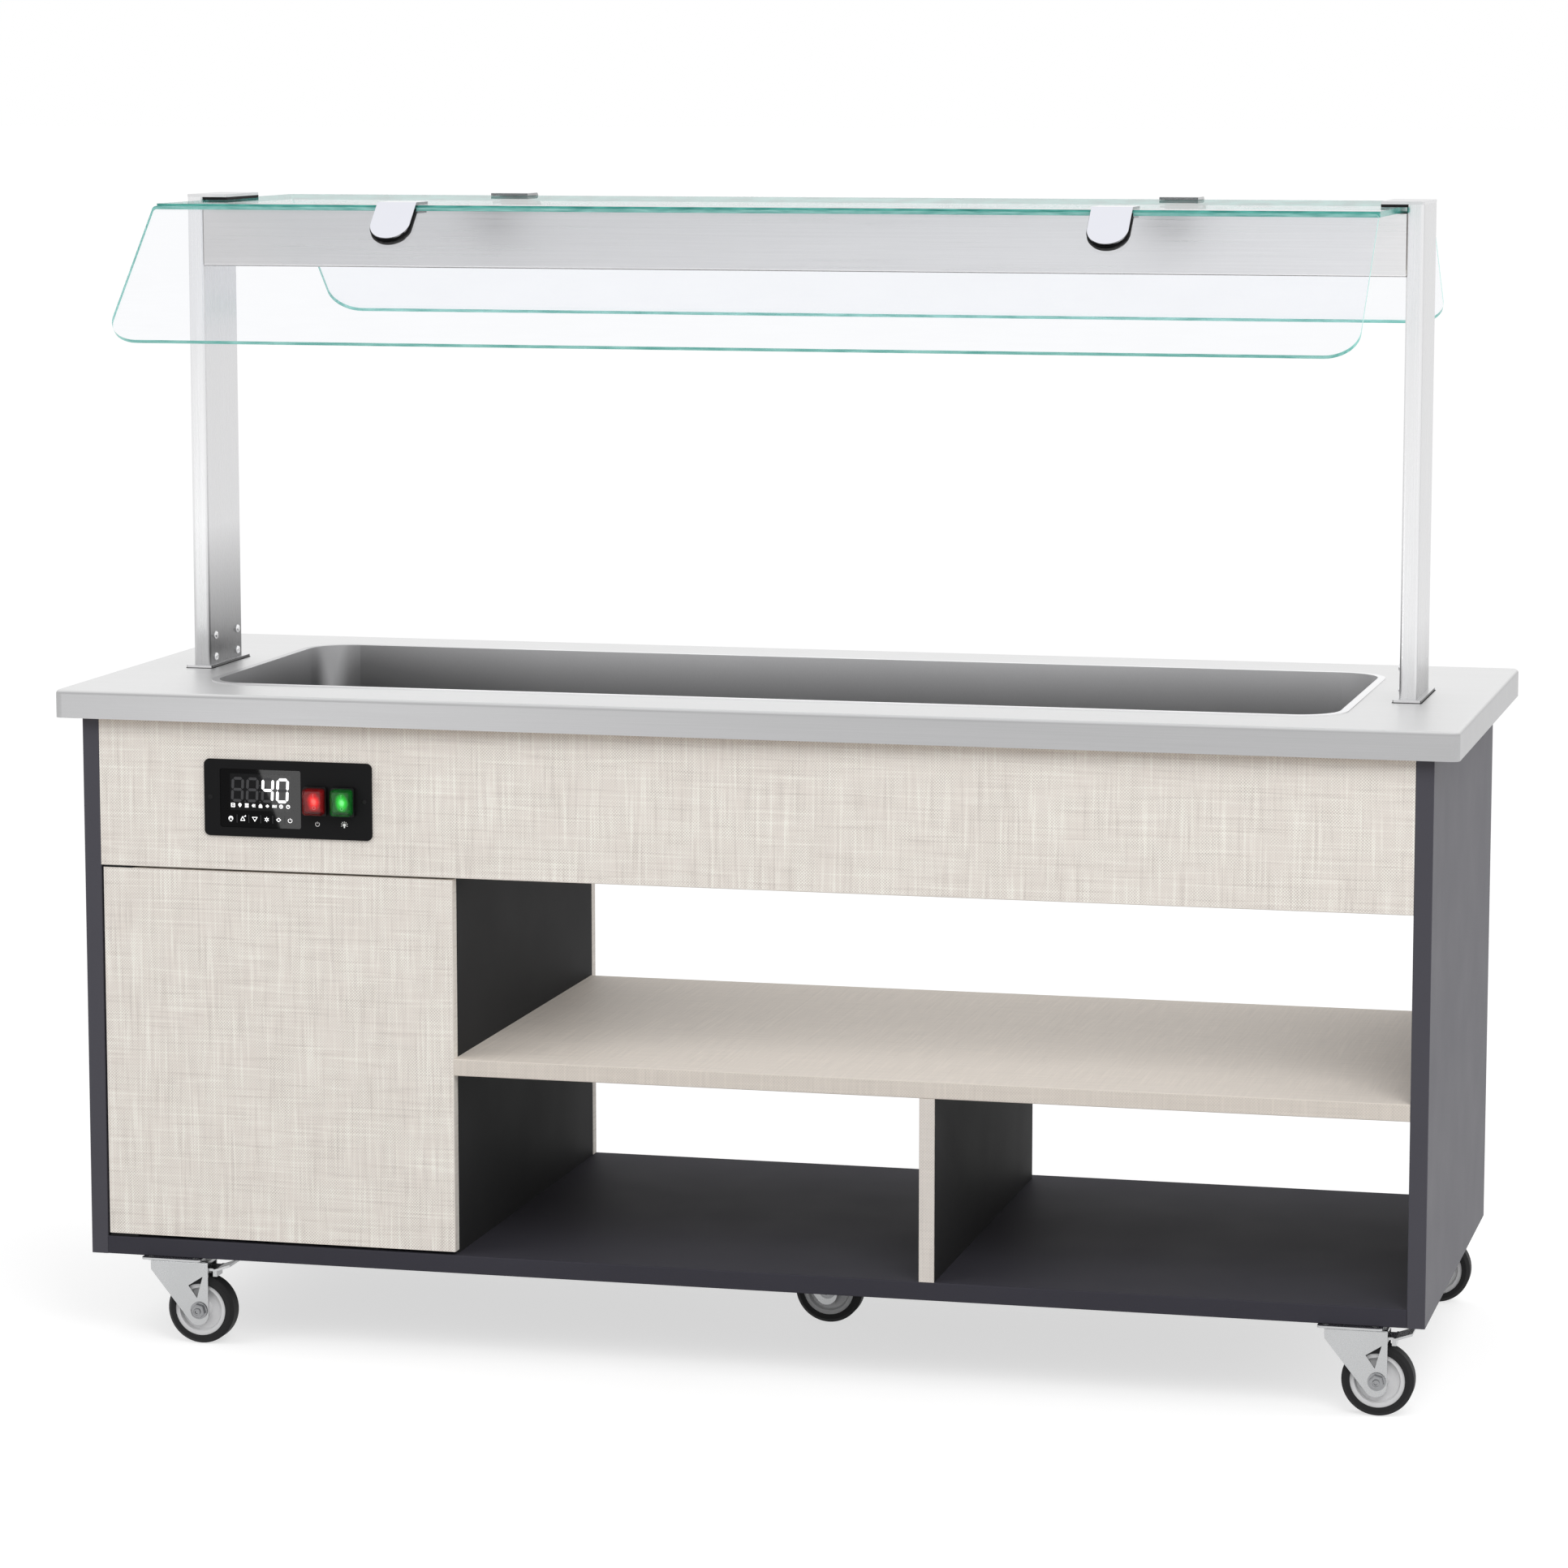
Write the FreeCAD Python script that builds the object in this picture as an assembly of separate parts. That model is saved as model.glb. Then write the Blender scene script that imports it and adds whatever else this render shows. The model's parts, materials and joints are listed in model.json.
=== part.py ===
import FreeCAD, Part
import math
import os

Vector = FreeCAD.Vector
X_AXIS = Vector(1, 0, 0)
Y_AXIS = Vector(0, 1, 0)
Z_AXIS = Vector(0, 0, 1)
ORIGIN = Vector(0, 0, 0)

# Hot buffet trolley. Millimetres, +Z up, +X along the length, -Y to the operator's front.
# The origin is on the floor below the centre of the worktop.

# Worktop: folded stainless sheet over a board core
worktop_length = 2000.0
worktop_depth = 770.0
worktop_height = 950.0
worktop_edge = 40.0
worktop_sheet = 1.5
worktop_edge_radius = 6.0
worktop_corner_radius = 12.0
core_inset = 5.0

# Well: seamless tub for five full-size pans side by side
well_end_margin = 185.0
well_side_margin = 130.0
well_depth = 200.0
well_sheet = 1.5
well_corner_radius = 60.0
well_floor_radius = 12.0
well_rim_width = 11.0
well_rim_thickness = 1.5
well_fit = 0.5

# Heating, insulation and casing round the well
mat_end_margin = 165.0
mat_side_margin = 55.0
mat_thickness = 3.0
mat_spacing = 60.0
mat_corner_radius = 12.0
insulation_thickness = 25.0
insulation_fit = 0.5
casing_sheet = 1.2
casing_flange = 20.0
casing_corner_radius = 30.0

# Drain: strainer flange, tail pipe and lever valve below the well
drain_from_end = 75.0
drain_flange_radius = 32.0
drain_flange_thickness = 2.0
drain_pipe_radius = 15.0
drain_bore_radius = 11.0
drain_fit = 0.2
drain_passage_radius = 34.0
drain_pipe_drop = 82.0
valve_body_radius = 21.0
valve_body_length = 56.0
valve_neck = 5.0
valve_outlet_radius = 12.0
valve_outlet_length = 26.0
valve_outlet_wall = 2.0
valve_seat_half = 14.0
valve_stem_radius = 5.0
valve_shoulder_radius = 9.0
valve_shoulder_reach = 30.0
valve_nut_radius = 8.0
valve_nut_thickness = 4.0
lever_hub_radius = 11.0
lever_thickness = 5.0
lever_length = 95.0
lever_width = 13.0
lever_grip_offset = 7.0
lever_bend_start = 20.0
lever_bend_end = 34.0
running_clearance = 0.05
end_play = 0.3

# Cabinet boards
body_end_inset = 35.0
body_face_inset = 20.0
side_thickness = 25.0
bottom_thickness = 26.0
front_thickness = 20.0
fascia_height = 213.0
board_edge_radius = 1.5
divider_thickness = 22.0
compartment_width = 504.0
shelf_thickness = 24.0
lower_bay_height = 260.0
shelf_setback = 25.0
lower_bay_width = 674.0
edging_thickness = 2.0

# Service door on pivot pins
door_side_gap = 3.0
door_bottom_gap = 5.0
door_top_gap = 3.0
door_stop_gap = 0.5
pivot_inset = 6.0
pivot_pin_radius = 2.5
pivot_pin_length = 14.0
pivot_bore_spare = 1.0
pivot_plate_length = 44.0
pivot_plate_width = 16.0
pivot_plate_setback = 1.0
pivot_plate_radius = 2.0
latch_length = 58.0
latch_width = 14.0
latch_drop = 60.0
latch_corner_radius = 2.0
latch_plunger_radius = 4.0
latch_plunger_reach = 12.0

# Control panel on the front fascia
panel_from_side = 284.0
panel_centre_below_top = 149.0
bezel_length = 250.0
bezel_height = 110.0
bezel_thickness = 4.0
bezel_corner_radius = 8.0
bezel_edge_radius = 1.5
panel_cutout_length = 222.0
panel_cutout_height = 88.0
display_length = 120.0
display_height = 83.0
display_offset_x = -40.5
display_fit = 0.4
display_recess = 1.0
display_depth = 28.0
display_flange_reach = 2.0
display_flange_thickness = 2.0
display_flange_gap = 0.5
display_case_inset = 4.0
display_corner_radius = 3.0
switch_offset_x = 43.0
switch_spacing = 41.5
switch_length = 34.0
switch_height = 41.0
switch_rim = 7.5
switch_rear_wall = 1.5
switch_depth = 24.0
switch_wall_side = 3.2
switch_cavity_radius = 0.8
switch_corner_radius = 3.0
rocker_radius = 16.4
rocker_sweep_gap = 0.4
rocker_side_gap = 0.4
rocker_crown = 8.5
rocker_valley = 6.0
rocker_back = 5.0
rocker_pin_radius = 1.5
rocker_pin_wall = 1.2
rocker_bore_wall = 0.8
rocker_axis_reach = 5.0
rocker_tilt = 9.0
hood_wall = 1.2
hood_gap = 4.0
hood_bevel = 3.0
hood_inset = 1.6
hood_corner_radius = 5.0

# Terminal box and cable gland in the service compartment
terminal_width = 160.0
terminal_height = 140.0
terminal_depth = 60.0
terminal_lid = 14.0
terminal_lid_overhang = 3.0
terminal_corner_radius = 6.0
terminal_above_bottom = 270.0
gland_above_bottom = 70.0
gland_from_side = 60.0
gland_thread_radius = 8.0
gland_thread_reach = 4.0
gland_bore_radius = 4.5
gland_flange_radius = 13.0
gland_flange_thickness = 7.0
gland_dome_radius = 11.0
gland_dome_length = 16.0
gland_dome_shoulder = 9.6
gland_lip = 2.0
gland_nut_thickness = 6.0

# Posts, caps and lamp beam
post_width = 25.0
post_depth = 140.0
post_wall = 2.0
post_corner_radius = 5.0
post_from_end = 96.0
post_height = 687.0
base_length = 40.0
base_depth = 166.0
base_thickness = 4.0
base_corner_radius = 3.0
post_hole_radius = 4.5
post_hole_spacing_y = 93.0
post_hole_spacing_z = 32.0
post_hole_above_base = 10.0
cap_thickness = 4.0
cap_reach = 36.0
cap_corner_radius = 3.0
gasket_thickness = 4.0
gasket_corner_radius = 2.0
beam_height = 88.0
beam_sheet = 1.5
beam_fold_radius = 3.0
beam_lip = 18.0
diffuser_thickness = 4.0
diffuser_bearing = 6.0
diffuser_end_gap = 12.0
diffuser_corner_radius = 3.0
led_bar_width = 24.0
led_bar_height = 9.0
led_bar_corner = 3.0
led_end_gap = 60.0

# Glass canopy
top_glass_thickness = 8.0
top_glass_depth = 580.0
glass_end_gap = 9.0
top_glass_corner_radius = 8.0
side_glass_thickness = 6.0
side_glass_run = 200.0
side_glass_drop = 182.0
side_glass_corner_radius = 45.0
side_glass_top_radius = 5.0
glass_joint_gap = 4.5
glass_edge_setback = 4.6

# Glass clamps
clamp_width = 57.0
clamp_from_end = 362.0
clamp_leaf = 4.0
clamp_inner_leaf = 3.0
clamp_liner = 0.3
clamp_plate_reach = 46.0
clamp_inner_reach = 40.0
clamp_flap_length = 70.0
clamp_web = 2.0
clamp_web_gap = 0.9
clamp_slot_length = 14.0
clamp_slot_width = 6.0
clamp_slot_radius = 2.99
clamp_flap_lap = 0.5
clamp_slot_spacing = 26.0
clamp_slot_from_bend = 18.0

# Casters
caster_height = 128.0
wheel_radius = 50.0
wheel_width = 30.0
caster_trail = 36.0
caster_end_inset = 113.0
caster_shift_x = 12.0
caster_face_inset = 25.0
caster_plate_length = 90.0
caster_plate_width = 76.0
caster_plate_thickness = 3.0
caster_plate_radius = 6.0
caster_slot_radius = 4.5
caster_slot_inset = 11.0
cup_radius = 31.0
cup_height = 1.5
race_radius = 27.0
race_height = 1.5
race_chamfer = 0.5
kingpin_radius = 6.0
kingpin_head_radius = 10.0
kingpin_head_height = 3.0
fork_wall = 3.0
fork_side_gap = 2.0
fork_bridge = 4.0
fork_front = 37.0
fork_front_height = 15.0
fork_rear_reach = 14.0
fork_eye_radius = 16.0
fork_eye_drop = 6.0
fork_shoulder_radius = 3.0
fork_window_rear = 6.0
fork_window_front = 16.0
fork_window_foot = 3.0
fork_window_top = 50.0
fork_window_shoulder = 36.0
fork_window_bottom = 18.0
axle_radius = 6.0
axle_nut_radius = 9.5
axle_nut_thickness = 6.0
hub_radius = 38.0
hub_boss_radius = 14.0
hub_end_gap = 0.5
hub_rim_width = 26.0
hub_rim_wall = 6.0
hub_web_width = 14.0
hub_draft = 2.0
tyre_shoulder = 5.0

# Brake pedals on the two front casters
pedal_pin_from_rear = 4.0
pedal_pin_below_top = 14.5
pedal_pin_radius = 3.0
pedal_barrel_radius = 5.0
pedal_side_gap = 0.5
pedal_neck_length = 12.0
pedal_length = 38.0
pedal_width = 42.0
pedal_thickness = 3.5
pedal_lift = 1.0
pedal_rise = 8.0
pedal_shoe_start = 9.0
pedal_shoe_end = 15.0
pedal_shoe_drop = 8.3
pedal_shoe_width = 24.0

# Levels and faces that several pieces share
worktop_half_x = worktop_length / 2
worktop_half_y = worktop_depth / 2
body_top = worktop_height - worktop_edge
body_half_x = worktop_half_x - body_end_inset
body_half_y = worktop_half_y - body_face_inset
bay_half_x = body_half_x - side_thickness
bay_half_y = body_half_y - front_thickness
floor_top = caster_height + bottom_thickness
fascia_bottom = body_top - fascia_height
well_length = worktop_length - 2 * well_end_margin
well_width = worktop_depth - 2 * well_side_margin
well_floor = worktop_height - well_depth
well_underside = well_floor - well_sheet
mat_length = (well_length - mat_spacing) / 2 - mat_end_margin
mat_width = well_width - 2 * mat_side_margin
mat_underside = well_underside - mat_thickness
casing_underside = mat_underside - insulation_thickness - casing_sheet
well_outer_x = well_length / 2 + well_sheet
well_outer_y = well_width / 2 + well_sheet
insulation_inner_x = well_outer_x + insulation_fit
insulation_inner_y = well_outer_y + insulation_fit
casing_inner_x = insulation_inner_x + insulation_thickness
casing_inner_y = insulation_inner_y + insulation_thickness
drain_x = drain_from_end - well_length / 2
divider_left = compartment_width - bay_half_x
divider_right = divider_left + divider_thickness
shelf_bottom = floor_top + lower_bay_height
shelf_top = shelf_bottom + shelf_thickness
shelf_rear = body_half_y - shelf_setback
lower_divider_left = divider_right + lower_bay_width
pivot_x = door_side_gap + pivot_inset - bay_half_x
pivot_y = pivot_inset - body_half_y
door_bottom = floor_top + door_bottom_gap
door_top = fascia_bottom - door_top_gap
panel_centre_x = panel_from_side - bay_half_x
panel_z = worktop_height - panel_centre_below_top
post_outer_x = worktop_half_x - post_from_end
post_inner_x = post_outer_x - post_width
post_bottom = worktop_height + base_thickness
post_top = post_bottom + post_height
glass_top = post_top - gasket_thickness
glass_bottom = glass_top - top_glass_thickness
beam_top = glass_bottom
beam_bottom = beam_top - beam_height
glass_half_x = post_inner_x - glass_end_gap
glass_half_y = top_glass_depth / 2
clamp_x = glass_half_x - clamp_from_end
slant = math.atan2(side_glass_drop, side_glass_run)
fork_top = caster_height - caster_plate_thickness - cup_height - race_height
fork_inner = wheel_width / 2 + fork_side_gap
fork_outer = fork_inner + fork_wall
fork_rear = caster_trail + fork_rear_reach
pedal_pivot_x = fork_rear - pedal_pin_from_rear
pedal_pivot_z = fork_top - pedal_pin_below_top
caster_pitch_x = body_half_x - caster_end_inset
caster_y = body_half_y - caster_face_inset


def box(x0, x1, y0, y1, z0, z1):
    return Part.makeBox(x1 - x0, y1 - y0, z1 - z0, Vector(x0, y0, z0))


def cylinder(radius, start, axis, length):
    return Part.makeCylinder(radius, length, start, axis)


def hexagon(radius, start, axis, length):
    across = X_AXIS if abs(axis.x) < 0.5 else Z_AXIS
    points = []
    for step in range(7):
        turn = FreeCAD.Rotation(axis, 60.0 * step)
        points.append(start + turn.multVec(across * radius))
    return Part.Face(Part.makePolygon(points)).extrude(axis * length)


def rounded_outline(u0, u1, v0, v1, radii, place):
    """Closed outline with one corner radius each, from the low corner counter-clockwise."""
    corners = [(u0, v0), (u1, v0), (u1, v1), (u0, v1)]
    along = [(1, 0), (0, 1), (-1, 0), (0, -1)]
    edges = []
    starts = []
    ends = []
    for index in range(4):
        u, v = corners[index]
        radius = radii[index]
        before = along[index - 1]
        after = along[index]
        entry = (u - before[0] * radius, v - before[1] * radius)
        leave = (u + after[0] * radius, v + after[1] * radius)
        starts.append(entry)
        ends.append(leave)
    for index in range(4):
        u, v = corners[index]
        radius = radii[index]
        before = along[index - 1]
        after = along[index]
        if radius > 0:
            centre_u = u + (after[0] - before[0]) * radius
            centre_v = v + (after[1] - before[1]) * radius
            reach = radius / math.sqrt(2)
            middle = (centre_u + (before[0] - after[0]) * reach, centre_v + (before[1] - after[1]) * reach)
            arc = Part.Arc(place(*starts[index]), place(*middle), place(*ends[index]))
            edges.append(arc.toShape())
        following = starts[(index + 1) % 4]
        edges.append(Part.makeLine(place(*ends[index]), place(*following)))
    return Part.Face(Part.Wire(edges))


def slab(x0, x1, y0, y1, z0, z1, radius):
    """Plate with rounded plan corners."""
    face = rounded_outline(x0, x1, y0, y1, [radius] * 4, lambda u, v: Vector(u, v, z0))
    return face.extrude(Z_AXIS * (z1 - z0))


def bar_along_x(x0, x1, y0, y1, z0, z1, radius):
    """Bar with a rounded cross-section, drawn along X."""
    face = rounded_outline(y0, y1, z0, z1, [radius] * 4, lambda u, v: Vector(x0, u, v))
    return face.extrude(X_AXIS * (x1 - x0))


def plate_on_front(x0, x1, z0, z1, y0, y1, radius):
    """Plate in the XZ plane with rounded corners."""
    face = rounded_outline(x0, x1, z0, z1, [radius] * 4, lambda u, v: Vector(u, y0, v))
    return face.extrude(Y_AXIS * (y1 - y0))


def profile_along_x(points, x0, x1):
    corners = [Vector(x0, y, z) for y, z in points]
    corners.append(corners[0])
    return Part.Face(Part.makePolygon(corners)).extrude(X_AXIS * (x1 - x0))


def profile_along_y(points, y0, y1):
    corners = [Vector(x, y0, z) for x, z in points]
    corners.append(corners[0])
    return Part.Face(Part.makePolygon(corners)).extrude(Y_AXIS * (y1 - y0))


def revolved(points, centre, axis, radial):
    """Ring turned from a half profile of (radius, distance along the axis)."""
    corners = [centre + radial * r + axis * a for r, a in points]
    corners.append(corners[0])
    return Part.Face(Part.makePolygon(corners)).revolve(centre, axis, 360)


def level_edges(shape, level):
    chosen = []
    for edge in shape.Edges:
        heights = [vertex.Z for vertex in edge.Vertexes]
        if max(abs(height - level) for height in heights) < 1e-6:
            chosen.append(edge)
    return chosen


def mirrored(shape, normal):
    return shape.mirror(ORIGIN, normal)


def both_ends(shape):
    return Part.makeCompound([shape, mirrored(shape, X_AXIS)])


# Worktop and well

def folded_slab(half_x, half_y, z0, z1, corner_radius, edge_radius):
    shape = slab(-half_x, half_x, -half_y, half_y, z0, z1, corner_radius)
    return shape.makeFillet(edge_radius, level_edges(shape, z1))


def well_prism(extra, z0, z1):
    half_x = well_length / 2 + extra
    half_y = well_width / 2 + extra
    return slab(-half_x, half_x, -half_y, half_y, z0, z1, well_corner_radius + extra)


def make_worktop():
    outside = folded_slab(worktop_half_x, worktop_half_y, body_top, worktop_height,
                          worktop_corner_radius, worktop_edge_radius)
    inside = folded_slab(worktop_half_x - worktop_sheet, worktop_half_y - worktop_sheet,
                         body_top, worktop_height - worktop_sheet,
                         worktop_corner_radius - worktop_sheet, worktop_edge_radius - worktop_sheet)
    opening = well_prism(well_sheet + well_fit, body_top, worktop_height)
    return outside.cut(inside).cut(opening)


def parted_at_corners(shape, z0, z1):
    """Solids of a form round the well, parted where the well's corners begin and end."""
    seam_x = well_length / 2 - well_corner_radius
    seam_y = well_width / 2 - well_corner_radius
    pieces = []
    for x0, x1 in ((-worktop_half_x, -seam_x), (-seam_x, seam_x), (seam_x, worktop_half_x)):
        for y0, y1 in ((-worktop_half_y, -seam_y), (-seam_y, seam_y), (seam_y, worktop_half_y)):
            pieces.extend(shape.common(box(x0, x1, y0, y1, z0, z1)).Solids)
    return pieces


def make_worktop_core():
    """Two rails, two end boards and four corner blocks."""
    inset = worktop_sheet + core_inset
    half_x = worktop_half_x - inset
    half_y = worktop_half_y - inset
    board = slab(-half_x, half_x, -half_y, half_y, body_top, worktop_height - worktop_sheet,
                 worktop_corner_radius)
    opening = well_prism(well_sheet + insulation_fit, body_top, worktop_height)
    return Part.makeCompound(parted_at_corners(board.cut(opening), body_top, worktop_height))


def make_well():
    """Floor tray, four walls and four corner pieces, welded flush."""
    outside = well_prism(well_sheet, well_underside, worktop_height)
    outside = outside.makeFillet(well_floor_radius + well_sheet, level_edges(outside, well_underside))
    inside = well_prism(0.0, well_floor, worktop_height + well_rim_thickness)
    inside = inside.makeFillet(well_floor_radius, level_edges(inside, well_floor))
    rim = well_prism(well_rim_width, worktop_height, worktop_height + well_rim_thickness)
    hole = cylinder(drain_pipe_radius + drain_fit, Vector(drain_x, 0, well_underside), Z_AXIS, well_sheet)
    tub = outside.fuse(rim).cut(inside).cut(hole).removeSplitter()
    wall_foot = well_floor + well_floor_radius
    tray = tub.common(box(-worktop_half_x, worktop_half_x, -worktop_half_y, worktop_half_y,
                          well_underside, wall_foot))
    walls = parted_at_corners(tub, wall_foot, worktop_height + well_rim_thickness)
    return Part.makeCompound(tray.Solids + walls)


def make_heating_mats():
    x0 = mat_spacing / 2
    mat = slab(x0, x0 + mat_length, -mat_width / 2, mat_width / 2, mat_underside, well_underside,
               mat_corner_radius)
    return both_ends(mat)


def make_insulation():
    outside = slab(-casing_inner_x, casing_inner_x, -casing_inner_y, casing_inner_y,
                   mat_underside - insulation_thickness, body_top, casing_corner_radius)
    inside = slab(-insulation_inner_x, insulation_inner_x, -insulation_inner_y, insulation_inner_y,
                  mat_underside, body_top, well_corner_radius)
    passage = cylinder(drain_passage_radius, Vector(drain_x, 0, casing_underside), Z_AXIS, well_depth)
    return outside.cut(inside).cut(passage)


def make_well_casing():
    outer_x = casing_inner_x + casing_sheet
    outer_y = casing_inner_y + casing_sheet
    tray = slab(-outer_x, outer_x, -outer_y, outer_y, casing_underside, body_top,
                casing_corner_radius + casing_sheet)
    flange_x = outer_x + casing_flange
    flange_y = outer_y + casing_flange
    flange = slab(-flange_x, flange_x, -flange_y, flange_y, body_top - casing_sheet, body_top,
                  casing_corner_radius + casing_flange)
    inside = slab(-casing_inner_x, casing_inner_x, -casing_inner_y, casing_inner_y,
                  casing_underside + casing_sheet, body_top, casing_corner_radius)
    passage = cylinder(drain_passage_radius, Vector(drain_x, 0, casing_underside), Z_AXIS, casing_sheet)
    return tray.fuse(flange).cut(inside).cut(passage)


# Drain valve

valve_top = well_floor - drain_pipe_drop
valve_bottom = valve_top - valve_body_length
valve_axis_z = (valve_top + valve_bottom) / 2
valve_end = valve_bottom - valve_outlet_length


def make_drain_valve():
    outline = [
        (0.0, well_floor + drain_flange_thickness),
        (drain_flange_radius, well_floor + drain_flange_thickness),
        (drain_flange_radius, well_floor),
        (drain_pipe_radius, well_floor),
        (drain_pipe_radius, valve_top),
        (valve_body_radius, valve_top - valve_neck),
        (valve_body_radius, valve_bottom + valve_neck),
        (valve_outlet_radius, valve_bottom),
        (valve_outlet_radius, valve_end),
        (0.0, valve_end),
    ]
    centre = Vector(drain_x, 0, 0)
    body = revolved(outline, centre, Z_AXIS, X_AXIS)
    seat_top = Vector(drain_x, 0, valve_axis_z + valve_seat_half)
    inlet = cylinder(drain_bore_radius, seat_top, Z_AXIS, well_depth)
    outlet_bore = valve_outlet_radius - valve_outlet_wall
    outlet = cylinder(outlet_bore, Vector(drain_x, 0, valve_end), Z_AXIS,
                      valve_axis_z - valve_seat_half - valve_end)
    forward = Vector(0, -1, 0)
    middle = Vector(drain_x, 0, valve_axis_z)
    shoulder = cylinder(valve_shoulder_radius, middle, forward, valve_shoulder_reach)
    stem_length = valve_shoulder_reach + lever_thickness + 2 * end_play + valve_nut_thickness
    stem = cylinder(valve_stem_radius, middle, forward, stem_length)
    nut_start = middle + forward * (stem_length - valve_nut_thickness)
    nut = hexagon(valve_nut_radius, nut_start, forward, valve_nut_thickness)
    ahead = outside_of_bores()
    return body.cut(inlet).cut(outlet).fuse([shoulder.common(ahead), stem.common(ahead), nut])


def outside_of_bores():
    """Space in front of the valve's water way, where the stem may run."""
    return box(drain_x - worktop_length, drain_x + worktop_length, -worktop_depth, -drain_bore_radius,
               valve_end, well_floor)


def make_drain_lever():
    rear = -valve_shoulder_reach - end_play
    front = rear - lever_thickness
    hub = cylinder(lever_hub_radius, Vector(drain_x, front, valve_axis_z), Y_AXIS, lever_thickness)
    strip = [
        (drain_x, rear),
        (drain_x + lever_bend_start, rear),
        (drain_x + lever_bend_end, rear - lever_grip_offset),
        (drain_x + lever_length, rear - lever_grip_offset),
        (drain_x + lever_length, front - lever_grip_offset),
        (drain_x + lever_bend_end, front - lever_grip_offset),
        (drain_x + lever_bend_start, front),
        (drain_x, front),
    ]
    corners = [Vector(x, y, valve_axis_z - lever_width / 2) for x, y in strip]
    corners.append(corners[0])
    arm = Part.Face(Part.makePolygon(corners)).extrude(Z_AXIS * lever_width)
    bore = cylinder(valve_stem_radius + running_clearance, Vector(drain_x, front, valve_axis_z), Y_AXIS,
                    lever_thickness)
    return hub.fuse(arm).cut(bore).removeSplitter()


# Cabinet boards

def make_left_side_panel():
    return slab(-body_half_x, -bay_half_x, -body_half_y, body_half_y, caster_height, body_top,
                board_edge_radius)


def make_right_side_panel():
    return slab(bay_half_x, body_half_x, -body_half_y, body_half_y, caster_height, body_top,
                board_edge_radius)


def make_bottom_panel():
    return bar_along_x(-bay_half_x, bay_half_x, -body_half_y, body_half_y, caster_height, floor_top,
                       board_edge_radius)


def fascia_board(y0, y1):
    return bar_along_x(-bay_half_x, bay_half_x, y0, y1, fascia_bottom, body_top, board_edge_radius)


def make_front_fascia():
    board = fascia_board(-body_half_y, -bay_half_y)
    half_x = panel_cutout_length / 2
    half_z = panel_cutout_height / 2
    cutout = box(panel_centre_x - half_x, panel_centre_x + half_x, -body_half_y, -bay_half_y,
                 panel_z - half_z, panel_z + half_z)
    return board.cut(cutout)


def make_rear_fascia():
    return fascia_board(bay_half_y, body_half_y)


def make_left_divider():
    return slab(divider_left, divider_right, -bay_half_y, bay_half_y, floor_top, casing_underside,
                board_edge_radius)


def make_rear_cover():
    board = slab(-bay_half_x, divider_right, bay_half_y, body_half_y, floor_top, fascia_bottom,
                 board_edge_radius)
    hole = cylinder(gland_thread_radius, Vector(gland_x, bay_half_y, gland_z), Y_AXIS, front_thickness)
    return board.cut(hole)


def make_shelf():
    return bar_along_x(divider_right, bay_half_x, -body_half_y, shelf_rear, shelf_bottom, shelf_top,
                       board_edge_radius)


def make_lower_divider():
    right = lower_divider_left + divider_thickness
    front = edging_thickness - body_half_y
    return box(lower_divider_left, right, front, shelf_rear, floor_top, shelf_bottom)


def make_lower_divider_edging():
    right = lower_divider_left + divider_thickness
    front = -body_half_y
    radii = [board_edge_radius, board_edge_radius, 0.0, 0.0]
    face = rounded_outline(lower_divider_left, right, front, front + edging_thickness, radii,
                           lambda u, v: Vector(u, v, floor_top))
    return face.extrude(Z_AXIS * lower_bay_height)


# Service door

def make_service_door():
    left = door_side_gap - bay_half_x
    rear = -bay_half_y - door_stop_gap
    board = slab(left, divider_right, -body_half_y, rear, door_bottom, door_top, board_edge_radius)
    radius = pivot_pin_radius + running_clearance
    depth = pivot_pin_length + pivot_bore_spare
    low = cylinder(radius, Vector(pivot_x, pivot_y, door_bottom), Z_AXIS, depth)
    high = cylinder(radius, Vector(pivot_x, pivot_y, door_top - depth), Z_AXIS, depth)
    return board.cut(low).cut(high)


def make_door_pivots():
    left = door_side_gap - bay_half_x
    right = left + pivot_plate_length
    front = pivot_plate_setback - body_half_y
    rear = front + pivot_plate_width
    low_plate = slab(left, right, front, rear, floor_top, door_bottom, pivot_plate_radius)
    low_pin = cylinder(pivot_pin_radius, Vector(pivot_x, pivot_y, floor_top), Z_AXIS,
                       door_bottom_gap + pivot_pin_length)
    high_plate = slab(left, right, front, rear, door_top + end_play, fascia_bottom, pivot_plate_radius)
    high_pin = cylinder(pivot_pin_radius, Vector(pivot_x, pivot_y, door_top - pivot_pin_length), Z_AXIS,
                        door_top_gap + pivot_pin_length)
    return Part.makeCompound([low_plate.fuse(low_pin), high_plate.fuse(high_pin)])


def make_touch_latch():
    top = door_top - latch_drop
    front = -bay_half_y + latch_plunger_reach
    case = slab(divider_left - latch_width, divider_left, front, front + latch_length,
                top - latch_width, top, latch_corner_radius)
    tip_y = -bay_half_y - door_stop_gap + end_play
    tip = Vector(divider_left - latch_width / 2, tip_y, top - latch_width / 2)
    plunger = cylinder(latch_plunger_radius, tip, Y_AXIS, latch_plunger_reach + door_stop_gap)
    return case.fuse(plunger)


# Control panel

bezel_front = -body_half_y - bezel_thickness


def panel_box(offset_x, length, height, y0, y1, radius):
    left = panel_centre_x + offset_x - length / 2
    low = panel_z - height / 2
    return plate_on_front(left, left + length, low, low + height, y0, y1, radius)


def switch_offsets():
    return [switch_offset_x, switch_offset_x + switch_spacing]


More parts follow.
